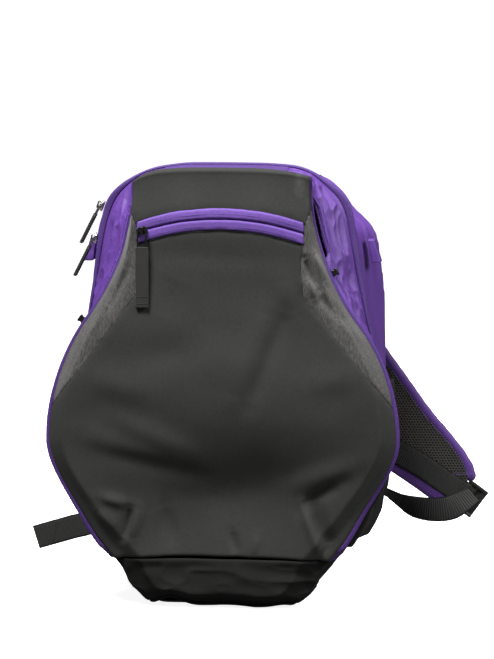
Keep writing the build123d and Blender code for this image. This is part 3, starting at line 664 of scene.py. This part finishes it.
def front_relief(points):
    """Height of the front panel's folds, forward of its smooth dome."""
    x, z = points[:, 0], points[:, 2]
    belly = BELLY_HEIGHT * np.exp(-(((z - BELLY_Z) / BELLY_TALL) ** 2) - (x / BELLY_WIDE) ** 2)
    above = z - HOLLOW_Z - HOLLOW_SLOPE * x
    tall = np.where(above > 0, HOLLOW_TALL_ABOVE, HOLLOW_TALL_BELOW)
    aside = np.abs((x - HOLLOW_X) / HOLLOW_WIDE) ** 3
    hollow = HOLLOW_DEPTH * np.exp(-((above / tall) ** 2) - aside)
    return add_folds(points, belly - hollow, FRONT_FOLDS)


def seam_dip(points, neighbours, depth, reach=0.004):
    """The dip and puckers where a panel is sewn to its neighbours."""
    away = distance_to(points, neighbours)
    puckers = 0.6 + 0.4 * bumps(points, 0.007, 5)
    return -depth * np.exp(-((away / reach) ** 2)) * puckers


def inner_weight(points, neighbours, reach=0.012):
    """0 at the seams with the neighbours, 1 from reach metres away."""
    return smoothstep(0.001, reach, distance_to(points, neighbours))


def corner_drop(points):
    """How far each point comes down where the front's top corners round over."""
    x, y, z = points.T
    reach = np.clip((np.abs(x) - 0.060) / 0.027, 0.0, 1.6) ** 2
    drop = np.where(x < 0, CORNER_DROP[-1], CORNER_DROP[1]) * reach
    return drop * smoothstep(0.370, 0.434, z) * smoothstep(-0.030, -0.068, y)


def crown_drop(points):
    """How far the slack top of the bag hangs, most towards its two shoulders and its back."""
    x, y, z = points.T
    drop = CROWN_DROP + SHOULDER_DROP * smoothstep(0.030, 0.110, np.abs(x))
    drop = drop + BACK_DROP * smoothstep(-0.026, 0.000, y)
    return drop * smoothstep(0.398, 0.436, z) * smoothstep(0.090, 0.060, y)


def foot_tuck(points):
    """How far the slack lower corners are drawn in towards the middle, with its sign."""
    x, y, z = points.T
    reach = FOOT_TUCK * smoothstep(0.0, 0.042, z) * smoothstep(0.160, 0.088, z)
    return np.sign(x) * reach * smoothstep(0.055, 0.100, np.abs(x)) * smoothstep(0.074, 0.030, y)


def shoulder_sink(points):
    """How far the unfilled right shoulder behind the main zip sinks inward."""
    x, y, z = points.T
    sink = SHOULDER_SINK * np.exp(-(((z - 0.398) / 0.024) ** 2)) * smoothstep(0.078, 0.112, x)
    return sink * smoothstep(-0.026, 0.016, y)


def shaped(points, relief, own_way=outward):
    """Points moved as the whole slack shell hangs, and their own way by their relief."""
    relief = np.broadcast_to(relief, len(points))
    x, y, z = points.T
    moved = points + outward(points) * slump(points)[:, None]
    moved -= sideways(points) * shoulder_sink(points)[:, None]
    moved[:, 2] -= corner_drop(points) + crown_drop(points)
    domed = np.clip((-0.078 - y) / 0.014, 0.0, 1.0)
    aside = np.sign(x) * smoothstep(0.066, 0.084, np.abs(x)) * smoothstep(0.384, 0.404, z)
    moved[:, 1] += DOME_BACK * smoothstep(0.386, 0.432, z) * domed
    moved[:, 2] += DOME_UP * smoothstep(0.400, 0.431, z) * domed
    moved[:, 0] += DOME_WIDE * aside * domed
    moved[:, 0] -= foot_tuck(points)
    return moved + own_way(points) * relief[:, None]


def shape_cloth(piece, points, relief, own_way=outward):
    """Give a piece those points, moved with the shell and by their own relief."""
    set_points(piece, shaped(points, relief, own_way))


# ---------- front and rims
def make_front_panels():
    """The charcoal front and yoke and the two heather wedges."""
    for node, (voxel, rounding) in FRONT_PANELS.items():
        piece = even_copy(node, voxel, rounding)
        points = grown(piece, PANEL_GROWTH * (1.0 + 1.3 * np.maximum(facing(piece), 0.0)))
        sewn = [name for name in FRONT_NODES if name not in (node, "front_piping")]
        relief = add_folds(points, front_relief(points), HEATHER_FOLDS)
        relief = relief * inner_weight(points, ["front_piping"], 0.012)
        relief = relief + seam_dip(points, sewn, 0.0010)
        shape_cloth(piece, points, relief)
        finish_piece(piece, node)


def make_pocket_zip():
    """The arched pocket zip: two purple welts that nearly meet over the coil."""
    for node, voxel, growth, lift in (("pocket_zip_welts", 0.0009, PANEL_GROWTH, WELT_LIFT),
                                      ("pocket_zip_coil", 0.0006, 0.0, 0.0)):
        piece = even_copy(node, voxel, 3)
        points = grown(piece, growth)
        puckers = 0.0005 * bumps(points, 0.010, 8, (1.0, 1.0, 4.0))
        shape_cloth(piece, points, front_relief(points) + puckers + lift)
        finish_piece(piece, node)


def make_gussets():
    """The crisp nylon gussets, folded lengthways, with their zip tapes and teeth."""
    for side_name, side in SIDES:
        node = side_name + "_gusset"
        piece = even_copy(node, 0.0014, 3)
        points = points_of(piece)
        seams = ["front_piping", "main_zip_front_tape", "top_gusset", node + "_zip_tapes"]
        crisp = crumple(points, ((0.0070, 0.020, 11 + side, (1.0, 0.75, 2.6), 0.75),
                                 (0.0034, 0.009, 21 + side, (1.0, 0.8, 1.8), 0.7)))
        crisp = crisp * smoothstep(0.10, 0.20, points[:, 2])
        shape_cloth(piece, points, crisp * inner_weight(points, seams, 0.009), sideways)
        finish_piece(piece, node)
        tape = even_copy(node + "_zip_tapes", 0.0006, 2)
        shape_cloth(tape, points_of(tape), 0.0)
        finish_piece(tape, node + "_zip_tapes")
        make_gusset_teeth(side_name, side)
        make_seam_teeth(side_name, side)


def make_seam_teeth(side_name, side):
    """The toothed edge that runs down each gusset's front seam."""
    tree = tree_of([side_name + "_gusset"])
    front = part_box(side_name + "_gusset")[0].y
    spots = []
    for z in np.arange(0.300, 0.428, SEAM_TOOTH_PITCH):
        start = Vector((side * 0.4, front + 0.0022, z))
        hit = tree.ray_cast(start, Vector((-side, 0.0, 0.0)))[0]
        if hit:
            spots.append(list(hit))
    places = shaped(np.array(spots), 0.0)
    aims = [(Vector((0, 1, 0)), Vector((side, 0, 0))) for _ in places]
    teeth = bead_row(side_name + "_seam_teeth", places, aims, SEAM_TOOTH_SIZE)
    finish_extra(teeth, "front_cover", "purple_welt")


def make_gusset_teeth(side_name, side):
    """The moulded teeth along both edges of a gusset zip, found on its tapes."""
    tapes = side_name + "_gusset_zip_tapes"
    tree = tree_of([tapes])
    centre = Vector(JOINTS[side_name + "_gusset_slide"]["pos_m"])
    low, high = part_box(tapes)
    reach = (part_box(side_name + "_gusset_slider")[0] - centre).length
    spots = []
    for z in np.arange(low.z + 0.003, high.z - 0.003, TOOTH_PITCH):
        angle = math.asin((z - centre.z) / (reach + 0.004))
        way = Vector((-side * math.cos(angle), 0.0, math.sin(angle)))
        hits = []
        for depth in np.arange(low.y, high.y, 0.0007):
            hit = tree.ray_cast(Vector((centre.x, depth, centre.z)), way)[0]
            if hit:
                hits.append(hit)
        if hits:
            spots += [(hits[0], way), (hits[-1], way)]
    places = shaped(np.array([list(spot) for spot, _ in spots]), 0.0)
    aims = [(Vector((0, 1, 0)), -way) for _, way in spots]
    teeth = bead_row(side_name + "_gusset_teeth", places, aims, TOOTH_SIZE)
    finish_extra(teeth, "front_cover", "zip_coil")


def stitch_row(name, line, up, body, node, look, step=0.0030):
    """A row of thread stitches along a line of points, standing up from a node's cloth."""
    line = np.array(line)
    lengths = np.concatenate([[0.0], np.cumsum(np.linalg.norm(np.diff(line, axis=0), axis=1))])
    wanted = np.arange(step / 2, lengths[-1], step)
    places = np.column_stack([np.interp(wanted, lengths, line[:, axis]) for axis in range(3)])
    ahead = np.gradient(places, axis=0)
    aims = [(Vector(way).normalized(), Vector(up)) for way in ahead]
    thread = bead_row(name, places, aims, (step * 0.74, 0.0006, 0.0005))
    finish_extra(thread, body, SLOT_OF[node], look)


def make_rims():
    """Top gusset and top panel, the piping and the main zip's tapes and coil."""
    for node, voxel, growth, look in RIM_PIECES:
        piece = even_copy(node, voxel, 6)
        if node == "front_piping":
            growth = growth * (1.0 + 2.0 * np.maximum(-facing(piece), 0.0))
        points = grown(piece, growth)
        moved = shaped(points, 0.0)
        if node == "front_piping":
            # Its two ends tuck in under the boot, and it lies sunk in the seam over the yoke.
            moved -= outward(points) * (0.0030 * smoothstep(0.064, 0.050, points[:, 2]))[:, None]
            moved += np.outer(smoothstep(0.404, 0.426, points[:, 2]), (0.0, 0.0030, -0.0012))
        set_points(piece, moved)
        finish_piece(piece, node, look)


# ---------- body and boot
def make_side_panel(side_name, side):
    """One purple side, drawn in at its middle and creased away from its seams."""
    node = side_name + "_side_panel"
    piece = even_copy(node, 0.0015, 10)
    points = grown(piece, SIDE_GROWTH)
    crisp = crumple(points, ((0.0044, 0.036, 31 + side, (1.0, 0.8, 2.6), 0.75),
                             (0.0014, 0.016, 41 + side, (1.0, 1.0, 1.6), 0.7)))
    crisp = crisp - 0.0050 * np.exp(-(((points[:, 2] - 0.30) / 0.05) ** 2))
    seams = ["main_zip_back_tape", "back_panel", "top_panel"]
    shape_cloth(piece, points, crisp * inner_weight(points, seams, 0.014), sideways)
    finish_piece(piece, node)


def make_side_pocket(side_name, side):
    """One loose black side pocket, whose upper edge slopes down towards the back."""
    node = side_name + "_side_pocket"
    piece = even_copy(node, 0.0013, 4)
    points = points_of(piece)
    loose = 0.0024 * bumps(points, 0.030, 51 + side) + 0.0012 * bumps(points, 0.013, 61 + side)
    loose = loose * inner_weight(points, [side_name + "_side_panel"], 0.008)
    moved = shaped(points, loose, sideways)
    moved[:, 2] -= 0.10 * np.maximum(moved[:, 1], 0.0) * smoothstep(0.18, 0.222, moved[:, 2])
    set_points(piece, moved)
    finish_piece(piece, node)


def make_flat_panels():
    """The back and the divider, which are stiffer than the rest of the shell."""
    for node in ("back_panel", "divider_panel"):
        piece = even_copy(node, 0.0026, 3)
        points = points_of(piece)
        if node == "back_panel":
            points[:, 1] += BACK_GROWTH * np.minimum(normals_of(piece)[:, 1], 0.0)
        moved = points + outward(points) * (0.5 * slump(points))[:, None]
        moved -= sideways(points) * (1.2 * shoulder_sink(points))[:, None]
        moved[:, 2] -= crown_drop(points)
        moved[:, 0] -= foot_tuck(points)
        moved[:, 2] = np.maximum(moved[:, 2], GROUND)
        set_points(piece, moved)
        finish_piece(piece, node)


def make_pocket_lining():
    """The lining, which hangs behind the front and gives way with it."""
    piece = even_copy("pocket_lining", 0.0014, 3)
    points = points_of(piece)
    shape_cloth(piece, points, np.minimum(front_relief(points), 0.0) - 0.0012)
    finish_piece(piece, "pocket_lining")


def make_boot():
    """The boot under the front, wrinkled, with an uneven lower edge, and the floor."""
    # The boot takes the boot look, black cloth painted darker as painted shade.
    for node, voxel, look in (("boot_panel", 0.0015, "boot"), ("base_panel", 0.0022, "black_polyester")):
        piece = even_copy(node, voxel, 4)
        points = grown(piece, BOOT_GROWTH)
        wrinkles = crumple(points, ((0.0050, 0.030, 71, (2.4, 1.0, 0.7), 0.7),
                                    (0.0024, 0.014, 73, (1.6, 1.0, 0.8), 0.7)))
        free = inner_weight(points, ["front_panel", "left_side_panel", "right_side_panel"], 0.010)
        low = 1.0 - smoothstep(0.0, 0.030, points[:, 2])
        front = smoothstep(0.0, -0.055, points[:, 1])
        lift = sum(height * np.exp(-(((points[:, 0] - middle) / width) ** 2))
                   for middle, width, height in DENTS)
        gain = (slump(points) + wrinkles * free) * (1 - 0.7 * low)
        moved = points + outward(points) * gain[:, None]
        moved[:, 0] -= foot_tuck(points)
        moved[:, 1] -= (front_relief(points) + 0.0010) * front
        # Its top edge reaches up to the front panel's, so that the seam closes.
        moved[:, 2] += 0.0012 * smoothstep(0.040, 0.048, points[:, 2]) * front
        moved[:, 2] = np.maximum(moved[:, 2] + lift * low * front, GROUND)
        set_points(piece, moved)
        finish_piece(piece, node, look)


# ---------- pads and straps
# How far the right strap's lower end is filled out.
FULL_END = 0.009
# Node and the most that its points may move when it swells.
PADS = (
    ("left_back_pad", 0.004), ("right_back_pad", 0.004), ("lumbar_pad", 0.004),
    ("left_strap_pad", 0.002), ("right_strap_pad", 0.002), ("strap_yoke", 0.002),
)
PAD_PRESSURE = 4.0
# The binding is padded: it grows over the strap's edge and a little proud of both faces.
BINDING_GROWTH = (0.0038, 0.0012, 0.0038)
# The wide lower band of the right strap, under its webbing: x, y, z and roll.
BAND_RUN = ((0.150, 0.0908, 0.129, 0), (0.168, 0.0907, 0.117, 0), (0.186, 0.0906, 0.105, 0),
            (0.203, 0.0906, 0.093, 0), (0.213, 0.0907, 0.0865, 0))
BAND_WIDTH = 0.0150
BAND_THICK = 0.0012


def full_end(points):
    """The right strap's lower end, filled out on its outer side."""
    x, _, z = points.T
    moved = points.copy()
    moved[:, 0] += FULL_END * np.exp(-(((z - 0.124) / 0.030) ** 2)) * smoothstep(0.160, 0.215, x)
    return moved


def make_pads():
    """Back, lumbar and strap pads and the strap yoke, all swollen by simulation."""
    for node, cap in PADS:
        piece = even_copy(node, 0.0035, 2)
        swell(piece, PAD_PRESSURE, cap)
        points = grown(piece, 0.0007 * bumps(points_of(piece), 0.018, 81))
        if node.endswith("strap_pad"):
            # The mesh is sewn over its front face, so it swells to the back only.
            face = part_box(node.replace("_pad", "_mesh"))[1].y
            points[:, 1] = np.maximum(points[:, 1], face + 0.0002)
            points = full_end(points)
        set_points(piece, points)
        finish_piece(piece, node)


def make_strap_faces():
    """The strap's mesh underside and its two padded purple bindings."""
    for side_name, side in SIDES:
        for layer, voxel, rounding, grow in (("mesh", 0.0009, 2, (0, 0, 0)),
                                             ("binding", 0.0010, 4, BINDING_GROWTH)):
            node = f"{side_name}_strap_{layer}"
            piece = even_copy(node, voxel, rounding)
            points = points_of(piece)
            uneven = 1.0 + 0.12 * bumps(points, 0.008, 91)
            move = normals_of(piece) * np.array(grow) * uneven[:, None]
            set_points(piece, full_end(points + move))
            soften = piece.modifiers.new("soften", "SMOOTH")
            soften.iterations = rounding
            settle(piece)
            piece.data.shade_smooth()
            finish_piece(piece, node, "binding" if layer == "binding" else None)
        make_binding_stitches(side_name, side)
    band = ribbon("right_strap_band", BAND_RUN, BAND_WIDTH, BAND_THICK, rib=0.00002)
    finish_extra(band, "right_strap", SLOT_OF["right_strap_binding"], "binding")


def make_binding_stitches(side_name, side):
    """A pale row of stitches along the inner edge of the strap's outer binding."""
    tree = tree_of([side_name + "_strap_binding"])
    low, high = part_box(side_name + "_strap_binding")
    edge = []
    for z in np.arange(low.z + 0.006, high.z - 0.006, 0.002):
        for depth in np.linspace(low.y, high.y, 7):
            hit = tree.ray_cast(Vector((side * 0.5, depth, z)), Vector((-side, 0, 0)))[0]
            if hit:
                edge.append((hit.x, low.y - 0.0016, z))
                break
    edge = full_end(np.array(edge))
    along = np.gradient(edge, axis=0)
    along /= np.linalg.norm(along, axis=1, keepdims=True)
    inward = np.cross(along, (0.0, 1.0, 0.0)) * side
    inward *= np.sign(-inward[:, :1] * side)
    stitch_row(side_name + "_binding_stitches", edge + inward * 0.0042, (0, -1, 0),
               side_name + "_strap", side_name + "_strap_binding", "purple_welt")


# ---------- webbing
RIB_PITCH = 0.0024
LOCK_WEB = 0.032
STRAP_WEB = 0.0254
WEB_THICK = 0.0015
# x, y, z in metres and roll in degrees, from the bag out to the lock and beyond.
LOWER_RUNS = {
    "right": ((0.100, 0.0902, 0.163, 0), (0.140, 0.0900, 0.147, 0), (0.184, 0.0895, 0.125, 0),
              (0.212, 0.0900, 0.106, 0), (0.226, 0.0905, 0.097, 0), (0.236, 0.0940, 0.0895, 0),
              (0.250, 0.0975, 0.0795, 0)),
    "left": ((-0.136, 0.0902, 0.150, 0), (-0.130, 0.0900, 0.134, 0), (-0.122, 0.0900, 0.116, 0),
             (-0.115, 0.0912, 0.098, 0), (-0.123, 0.0916, 0.091, 0)),
}
TAIL_RUNS = {
    "right": ((0.134, 0.0880, 0.100, 66), (0.152, 0.0880, 0.094, 62), (0.168, 0.0878, 0.085, 48),
              (0.184, 0.0872, 0.078, 20), (0.203, 0.0866, 0.0755, 2), (0.220, 0.0862, 0.0775, -10),
              (0.232, 0.0868, 0.084, -24), (0.243, 0.0892, 0.093, -30)),
    "left": ((-0.120, 0.0900, 0.082, 6), (-0.150, 0.0878, 0.0590, 3), (-0.180, 0.0870, 0.0495, 0),
             (-0.200, 0.0872, 0.0435, 0), (-0.2165, 0.0876, 0.0385, 0)),
}
# Webbing nodes and the axis that their ribs are counted along.
SMALL_WEBBING = {
    "haul_loop": 2, "left_anchor_tab": 2, "right_anchor_tab": 2, "pocket_pull_tab": 2,
    "main_pull_upper": 2, "main_pull_lower": 2, "left_lock_loop": 0, "right_lock_loop": 0,
}


def smooth_route(route, step):
    """Points every step metres or so along a smooth curve through the route's rows."""
    rows = np.array(route, dtype=float)
    rows = np.vstack([2 * rows[0] - rows[1], rows, 2 * rows[-1] - rows[-2]])
    made = []
    for before, start, end, after in zip(rows, rows[1:], rows[2:], rows[3:]):
        count = max(2, int(np.linalg.norm((end - start)[:3]) / step))
        for t in np.arange(count)[:, None] / count:
            made.append(0.5 * (2 * start + (end - before) * t
                               + (2 * before - 5 * start + 4 * end - after) * t ** 2
                               + (3 * start - before - 3 * end + after) * t ** 3))
    return np.vstack([*made, rows[-2:-1]])


def mark_ribs(piece, heights):
    """Keep each point's place on its rib, from -1 in a valley to 1 on a crest, for the webbing's painted shade and
    painted highlight.
    """
    kept = piece.data.attributes.new("rib", "FLOAT", "POINT")
    kept.data.foreach_set("value", np.asarray(heights, dtype=np.float32))


def ribbon(name, route, width, thick, facing=(0, -1, 0), rib=0.00030):
    """Ribbed webbing along a route of rows x, y, z and roll in degrees."""
    path = smooth_route(route, 0.00042)
    centres = path[:, :3]
    ahead = np.gradient(centres, axis=0)
    ahead /= np.linalg.norm(ahead, axis=1, keepdims=True)
    flat = np.cross(np.array(facing, dtype=float), ahead)
    flat /= np.linalg.norm(flat, axis=1, keepdims=True)
    up = np.cross(ahead, flat)
    roll = np.radians(path[:, 3:4])
    wide = flat * np.cos(roll) + up * np.sin(roll)
    normal = np.cross(ahead, wide)
    travelled = np.concatenate([[0.0], np.cumsum(np.linalg.norm(np.diff(centres, axis=0), axis=1))])
    height = rib * np.sin(2 * np.pi * travelled / RIB_PITCH)
    columns = 14
    spots = np.linspace(-1.0, 1.0, columns)
    edge = np.sqrt(1.0 - np.abs(spots) ** 12)
    ring = [(spot, side * tall) for side in (1, -1) for spot, tall in zip(spots[::side], edge[::side])]
    points = []
    for centre, across, away, ridge in zip(centres, wide, normal, height):
        for spot, tall in ring:
            lift = tall * (thick / 2 + ridge * (1 if abs(spot) < 0.95 else 0))
            points.append(centre + across * spot * width / 2 + away * lift)
    piece = new_piece(name, points, tube_faces(len(centres), len(ring)))
    mark_ribs(piece, np.repeat(height / rib, len(ring)))
    return piece


def make_webbings():
    """The lower webbings and their slack tails."""
    for side_name, _ in SIDES:
        for part, runs in (("lower_webbing", LOWER_RUNS), ("webbing_tail", TAIL_RUNS)):
            node = f"{side_name}_{part}"
            piece = ribbon(node + "_cloth", runs[side_name], STRAP_WEB, WEB_THICK)
            finish_piece(piece, node)


def make_lock_webs():
    """The folded end of each strap's loop, which fills its ladder lock's slots."""
    for side_name, _ in SIDES:
        low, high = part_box(side_name + "_ladder_lock")
        middle = (low + high) / 2
        end, before = LOWER_RUNS[side_name][-1], LOWER_RUNS[side_name][-3]
        ahead = Vector((end[0] - before[0], 0.0, end[2] - before[2])).normalized()
        route = [(*(middle + ahead * step + Vector((0, 0.0012, 0))), 0)
                 for step in (-0.0095, -0.003, 0.003, 0.0085)]
        web = ribbon(side_name + "_lock_web", route, LOCK_WEB, WEB_THICK)
        finish_extra(web, side_name + "_lock", "black_webbing")


def make_small_webbing():
    """Loops, tabs and pulls made of webbing, ribbed across their length."""
    for node, axis in SMALL_WEBBING.items():
        piece = even_copy(node, 0.0006, 2)
        ribs = np.sin(2 * np.pi * points_of(piece)[:, axis] / RIB_PITCH)
        ribs = ribs * (0.25 if node == "pocket_pull_tab" else 1.0)
        set_points(piece, grown(piece, 0.00016 * ribs))
        mark_ribs(piece, ribs * 0.8)
        finish_piece(piece, node)


def make_side_tabs():
    """Folded purple ribbon tabs at the sides."""
    for side_name, _ in SIDES:
        node = side_name + "_side_tab"
        piece = even_copy(node, 0.0008, 4)
        set_points(piece, grown(piece, 0.0005 * bumps(points_of(piece), 0.009, 95)))
        finish_piece(piece, node)


# ---------- hard pieces
CAST_NODES = ("left_ladder_lock", "right_ladder_lock", "pocket_slider", "main_slider_upper",
              "main_slider_lower")
# A gusset slider from its foot to its top: share of the width, and height over the tape.
SLIDER_RINGS = (
    (0.60, -0.0056), (0.86, -0.0052), (0.92, -0.0040), (0.80, -0.0030), (0.80, -0.0016),
    (0.94, -0.0008), (1.00, 0.0000), (0.94, 0.0008), (0.60, 0.0012),
)
SLIDER_LENGTH = 0.0078
SLIDER_WIDTH = 0.0044
SLIDER_SIDES = 32


def make_hard_pieces():
    """Ladder locks and sliders with the soft edges of moulded and cast pieces."""
    for node in CAST_NODES:
        finish_piece(even_copy(node, 0.0004, 3), node)


def make_gusset_sliders():
    """Each gusset slider: a saddle that reaches down over its teeth, with a bridge."""
    for side_name, _ in SIDES:
        node = side_name + "_gusset_slider"
        low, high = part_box(node)
        seat = (low + high) / 2
        centre = Vector(JOINTS[side_name + "_gusset_slide"]["pos_m"])
        up = Vector((centre.x - seat.x, 0.0, centre.z - seat.z)).normalized()
        ahead = up.cross(Vector((0, 1, 0)))
        points = []
        for share, tall in SLIDER_RINGS:
            long_way = ahead * (share * SLIDER_LENGTH / 2)
            wide_way = Vector((0, share * SLIDER_WIDTH / 2, 0))
            points += ring_points(seat + up * tall, long_way, wide_way, SLIDER_SIDES, 4)
        faces = tube_faces(len(SLIDER_RINGS), SLIDER_SIDES)
        finish_piece(new_piece(node + "_body", points, faces), node)


# ---------- stitching
# Rows of stitches over the pocket zip: how far from its middle line, and whether on a welt.
WELT_ROWS = ((0.0048, True), (-0.0072, True), (0.0112, False), (-0.0112, False))
PULL_ROWS = (0.004, 0.011)
TAIL_HEM = ((-0.1995, 0.0862, 0.0325), (-0.1930, 0.0862, 0.0565))


def arc_line(centre, radius, start, end, depth):
    """Points along an arc in a plane square to Y, with angles in degrees from straight up."""
    angles = np.radians(np.linspace(start, end, 60))
    return np.column_stack([centre[0] + radius * np.sin(angles), np.full(60, depth),
                            centre[1] + radius * np.cos(angles)])


def stitch_pocket():
    """Rows of stitches along the pocket zip's two welts and beside them."""
    low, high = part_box("pocket_slider")
    middle = JOINTS["pocket_slide"]["pos_m"][2]
    radius = math.hypot((low.x + high.x) / 2, (low.z + high.z) / 2 - middle)
    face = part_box("pocket_zip_welts")[0].y
    for offset, on_welt in WELT_ROWS:
        lift = PANEL_GROWTH + (WELT_LIFT if on_welt else 0.0) + 0.0002
        line = arc_line((0.0, middle), radius + offset, -16.0, 17.0, face)
        line = shaped(line, front_relief(line) + lift)
        name = f"welt_stitches_{offset * 1e4:.0f}".replace("-", "lower_")
        node = "pocket_zip_welts" if on_welt else "front_panel"
        look = "purple_welt" if on_welt else "charcoal_polyester"
        stitch_row(name, line, (0, -1, 0), "front_cover", node, look)


def make_stitching():
    """Rows of stitches on the pocket's welts, its pull, a tail's hem and the haul loop."""
    stitch_pocket()
    low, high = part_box("pocket_pull_tab")
    for height in PULL_ROWS:
        line = [(low.x + 0.001, low.y, low.z + height), (high.x - 0.001, low.y, low.z + height)]
        stitch_row(f"pull_stitches_{height * 1e3:.0f}", line, (0, -1, 0), "pocket_pull",
                   "pocket_pull_tab", "black_webbing", 0.0022)
    stitch_row("tail_hem_stitches", TAIL_HEM, (0, -1, 0), "left_strap", "left_webbing_tail",
               "black_webbing", 0.0022)
    low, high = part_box("haul_loop")
    for place in (low.z + 0.004, high.z - 0.006):
        line = [(low.x + 0.002, high.y + 0.0001, place), (high.x - 0.002, high.y + 0.0001, place)]
        stitch_row(f"haul_stitches_{place * 1e3:.0f}", line, (0, 1, 0), "haul", "haul_loop",
                   "black_webbing", 0.0024)


def finish_hard_nodes():
    """CAD nodes that are right as they are get their own finishes."""
    for node, made in NODES.items():
        if made.hide_render:
            continue
        made.data.materials.clear()
        made.data.materials.append(MATERIALS[SLOT_OF[node]])


# ---------- room, lights and camera
# Radius and height of each ring of the room, from its floor up its wall.
ROOM_PROFILE = ((3.0, 0.0), (7.0, 0.0), (12.0, 0.0), (14.0, 0.2), (16.0, 1.0), (17.5, 2.6),
                (18.4, 5.0), (18.8, 9.0))
FLOOR_BOUNCE = 0.12
FLOOR_GLOW = 0.90


def make_room():
    """A pale floor that rises into a round wall on every side."""
    around = 96
    points = [(0.0, 0.0, 0.0)]
    for radius, height in ROOM_PROFILE:
        for index in range(around):
            angle = 2 * math.pi * index / around
            points.append((radius * math.cos(angle), radius * math.sin(angle), height))
    faces = [(0, 1 + index, 1 + (index + 1) % around) for index in range(around)]
    for row in range(len(ROOM_PROFILE) - 1):
        first = 1 + row * around
        for index in range(around):
            after = (index + 1) % around
            faces.append((first + index, first + around + index,
                          first + around + after, first + after))
    room = new_piece("studio_floor", points, faces)
    # The floor looks white, but throws back little light under the bag.
    material, tree, shader, place = start_material("studio_floor", 0.9, 0.1)
    seen = add(tree, "ShaderNodeLightPath").outputs["Is Camera Ray"]
    pale = blend_colour(tree, grain(tree, place, 3.0), (0.93, 0.93, 0.93, 1), (0.96, 0.96, 0.96, 1))
    tone = blend_colour(tree, seen, rgba((FLOOR_BOUNCE,) * 3), pale)
    tree.links.new(tone, shader.inputs["Base Color"])
    tree.links.new(maths(tree, "MULTIPLY", seen, FLOOR_GLOW), shader.inputs["Emission Strength"])
    shader.inputs["Emission Color"].default_value = (1, 1, 1, 1)
    room.data.materials.append(material)


# Name, place, size in metres and power in watts.
LIGHTS = (
    ("key", (-0.65, -1.10, 2.65), 0.8, 165.0),
    ("side", (2.2, -0.7, 1.6), 0.8, 60.0),
    ("crown", (0.1, 0.6, 2.4), 1.0, 12.0),
)
SURROUND = 0.15


def make_light(name, place, size, power):
    """A soft lamp aimed at the middle of the bag."""
    lamp = bpy.data.lights.new(name, "AREA")
    lamp.size = size
    lamp.energy = power
    made = bpy.data.objects.new(name, lamp)
    made.location = place
    made.rotation_mode = "QUATERNION"
    made.rotation_quaternion = (Vector(MIDDLE) - Vector(place)).to_track_quat("-Z", "Y")
    bpy.context.scene.collection.objects.link(made)


def make_lights():
    """Soft lamps in front, at the right and above, with an even white surround."""
    for light in LIGHTS:
        make_light(*light)
    world = bpy.data.worlds.new("surround")
    world.use_nodes = True
    background = world.node_tree.nodes["Background"]
    background.inputs["Color"].default_value = (1, 1, 1, 1)
    background.inputs["Strength"].default_value = SURROUND
    bpy.context.scene.world = world
    bpy.context.scene.view_settings.view_transform = "Standard"


def make_camera():
    """A long lens a little to the right of the middle and slightly above."""
    azimuth, elevation = math.radians(6.0), math.radians(6.0)
    distance = 3.0
    seen_height = 0.667
    aim = Vector((0.017, 0.0, 0.271))
    back = Vector((math.sin(azimuth) * math.cos(elevation),
                   -math.cos(azimuth) * math.cos(elevation), math.sin(elevation)))
    data = bpy.data.cameras.new("camera")
    data.sensor_width = 36.0
    data.lens = data.sensor_width / 2 / (seen_height / 2 / distance)
    camera = bpy.data.objects.new("camera", data)
    camera.location = aim + back * distance
    camera.rotation_mode = "QUATERNION"
    camera.rotation_quaternion = (-back).to_track_quat("-Z", "Y")
    bpy.context.scene.collection.objects.link(camera)
    bpy.context.scene.camera = camera


make_front_panels()
make_pocket_zip()
make_gussets()
make_rims()
for side in SIDES:
    make_side_panel(*side)
    make_side_pocket(*side)
make_flat_panels()
make_pocket_lining()
make_boot()
make_pads()
make_strap_faces()
make_webbings()
make_lock_webs()
make_small_webbing()
make_side_tabs()
make_hard_pieces()
make_gusset_sliders()
make_stitching()
finish_hard_nodes()
make_room()
make_lights()
make_camera()
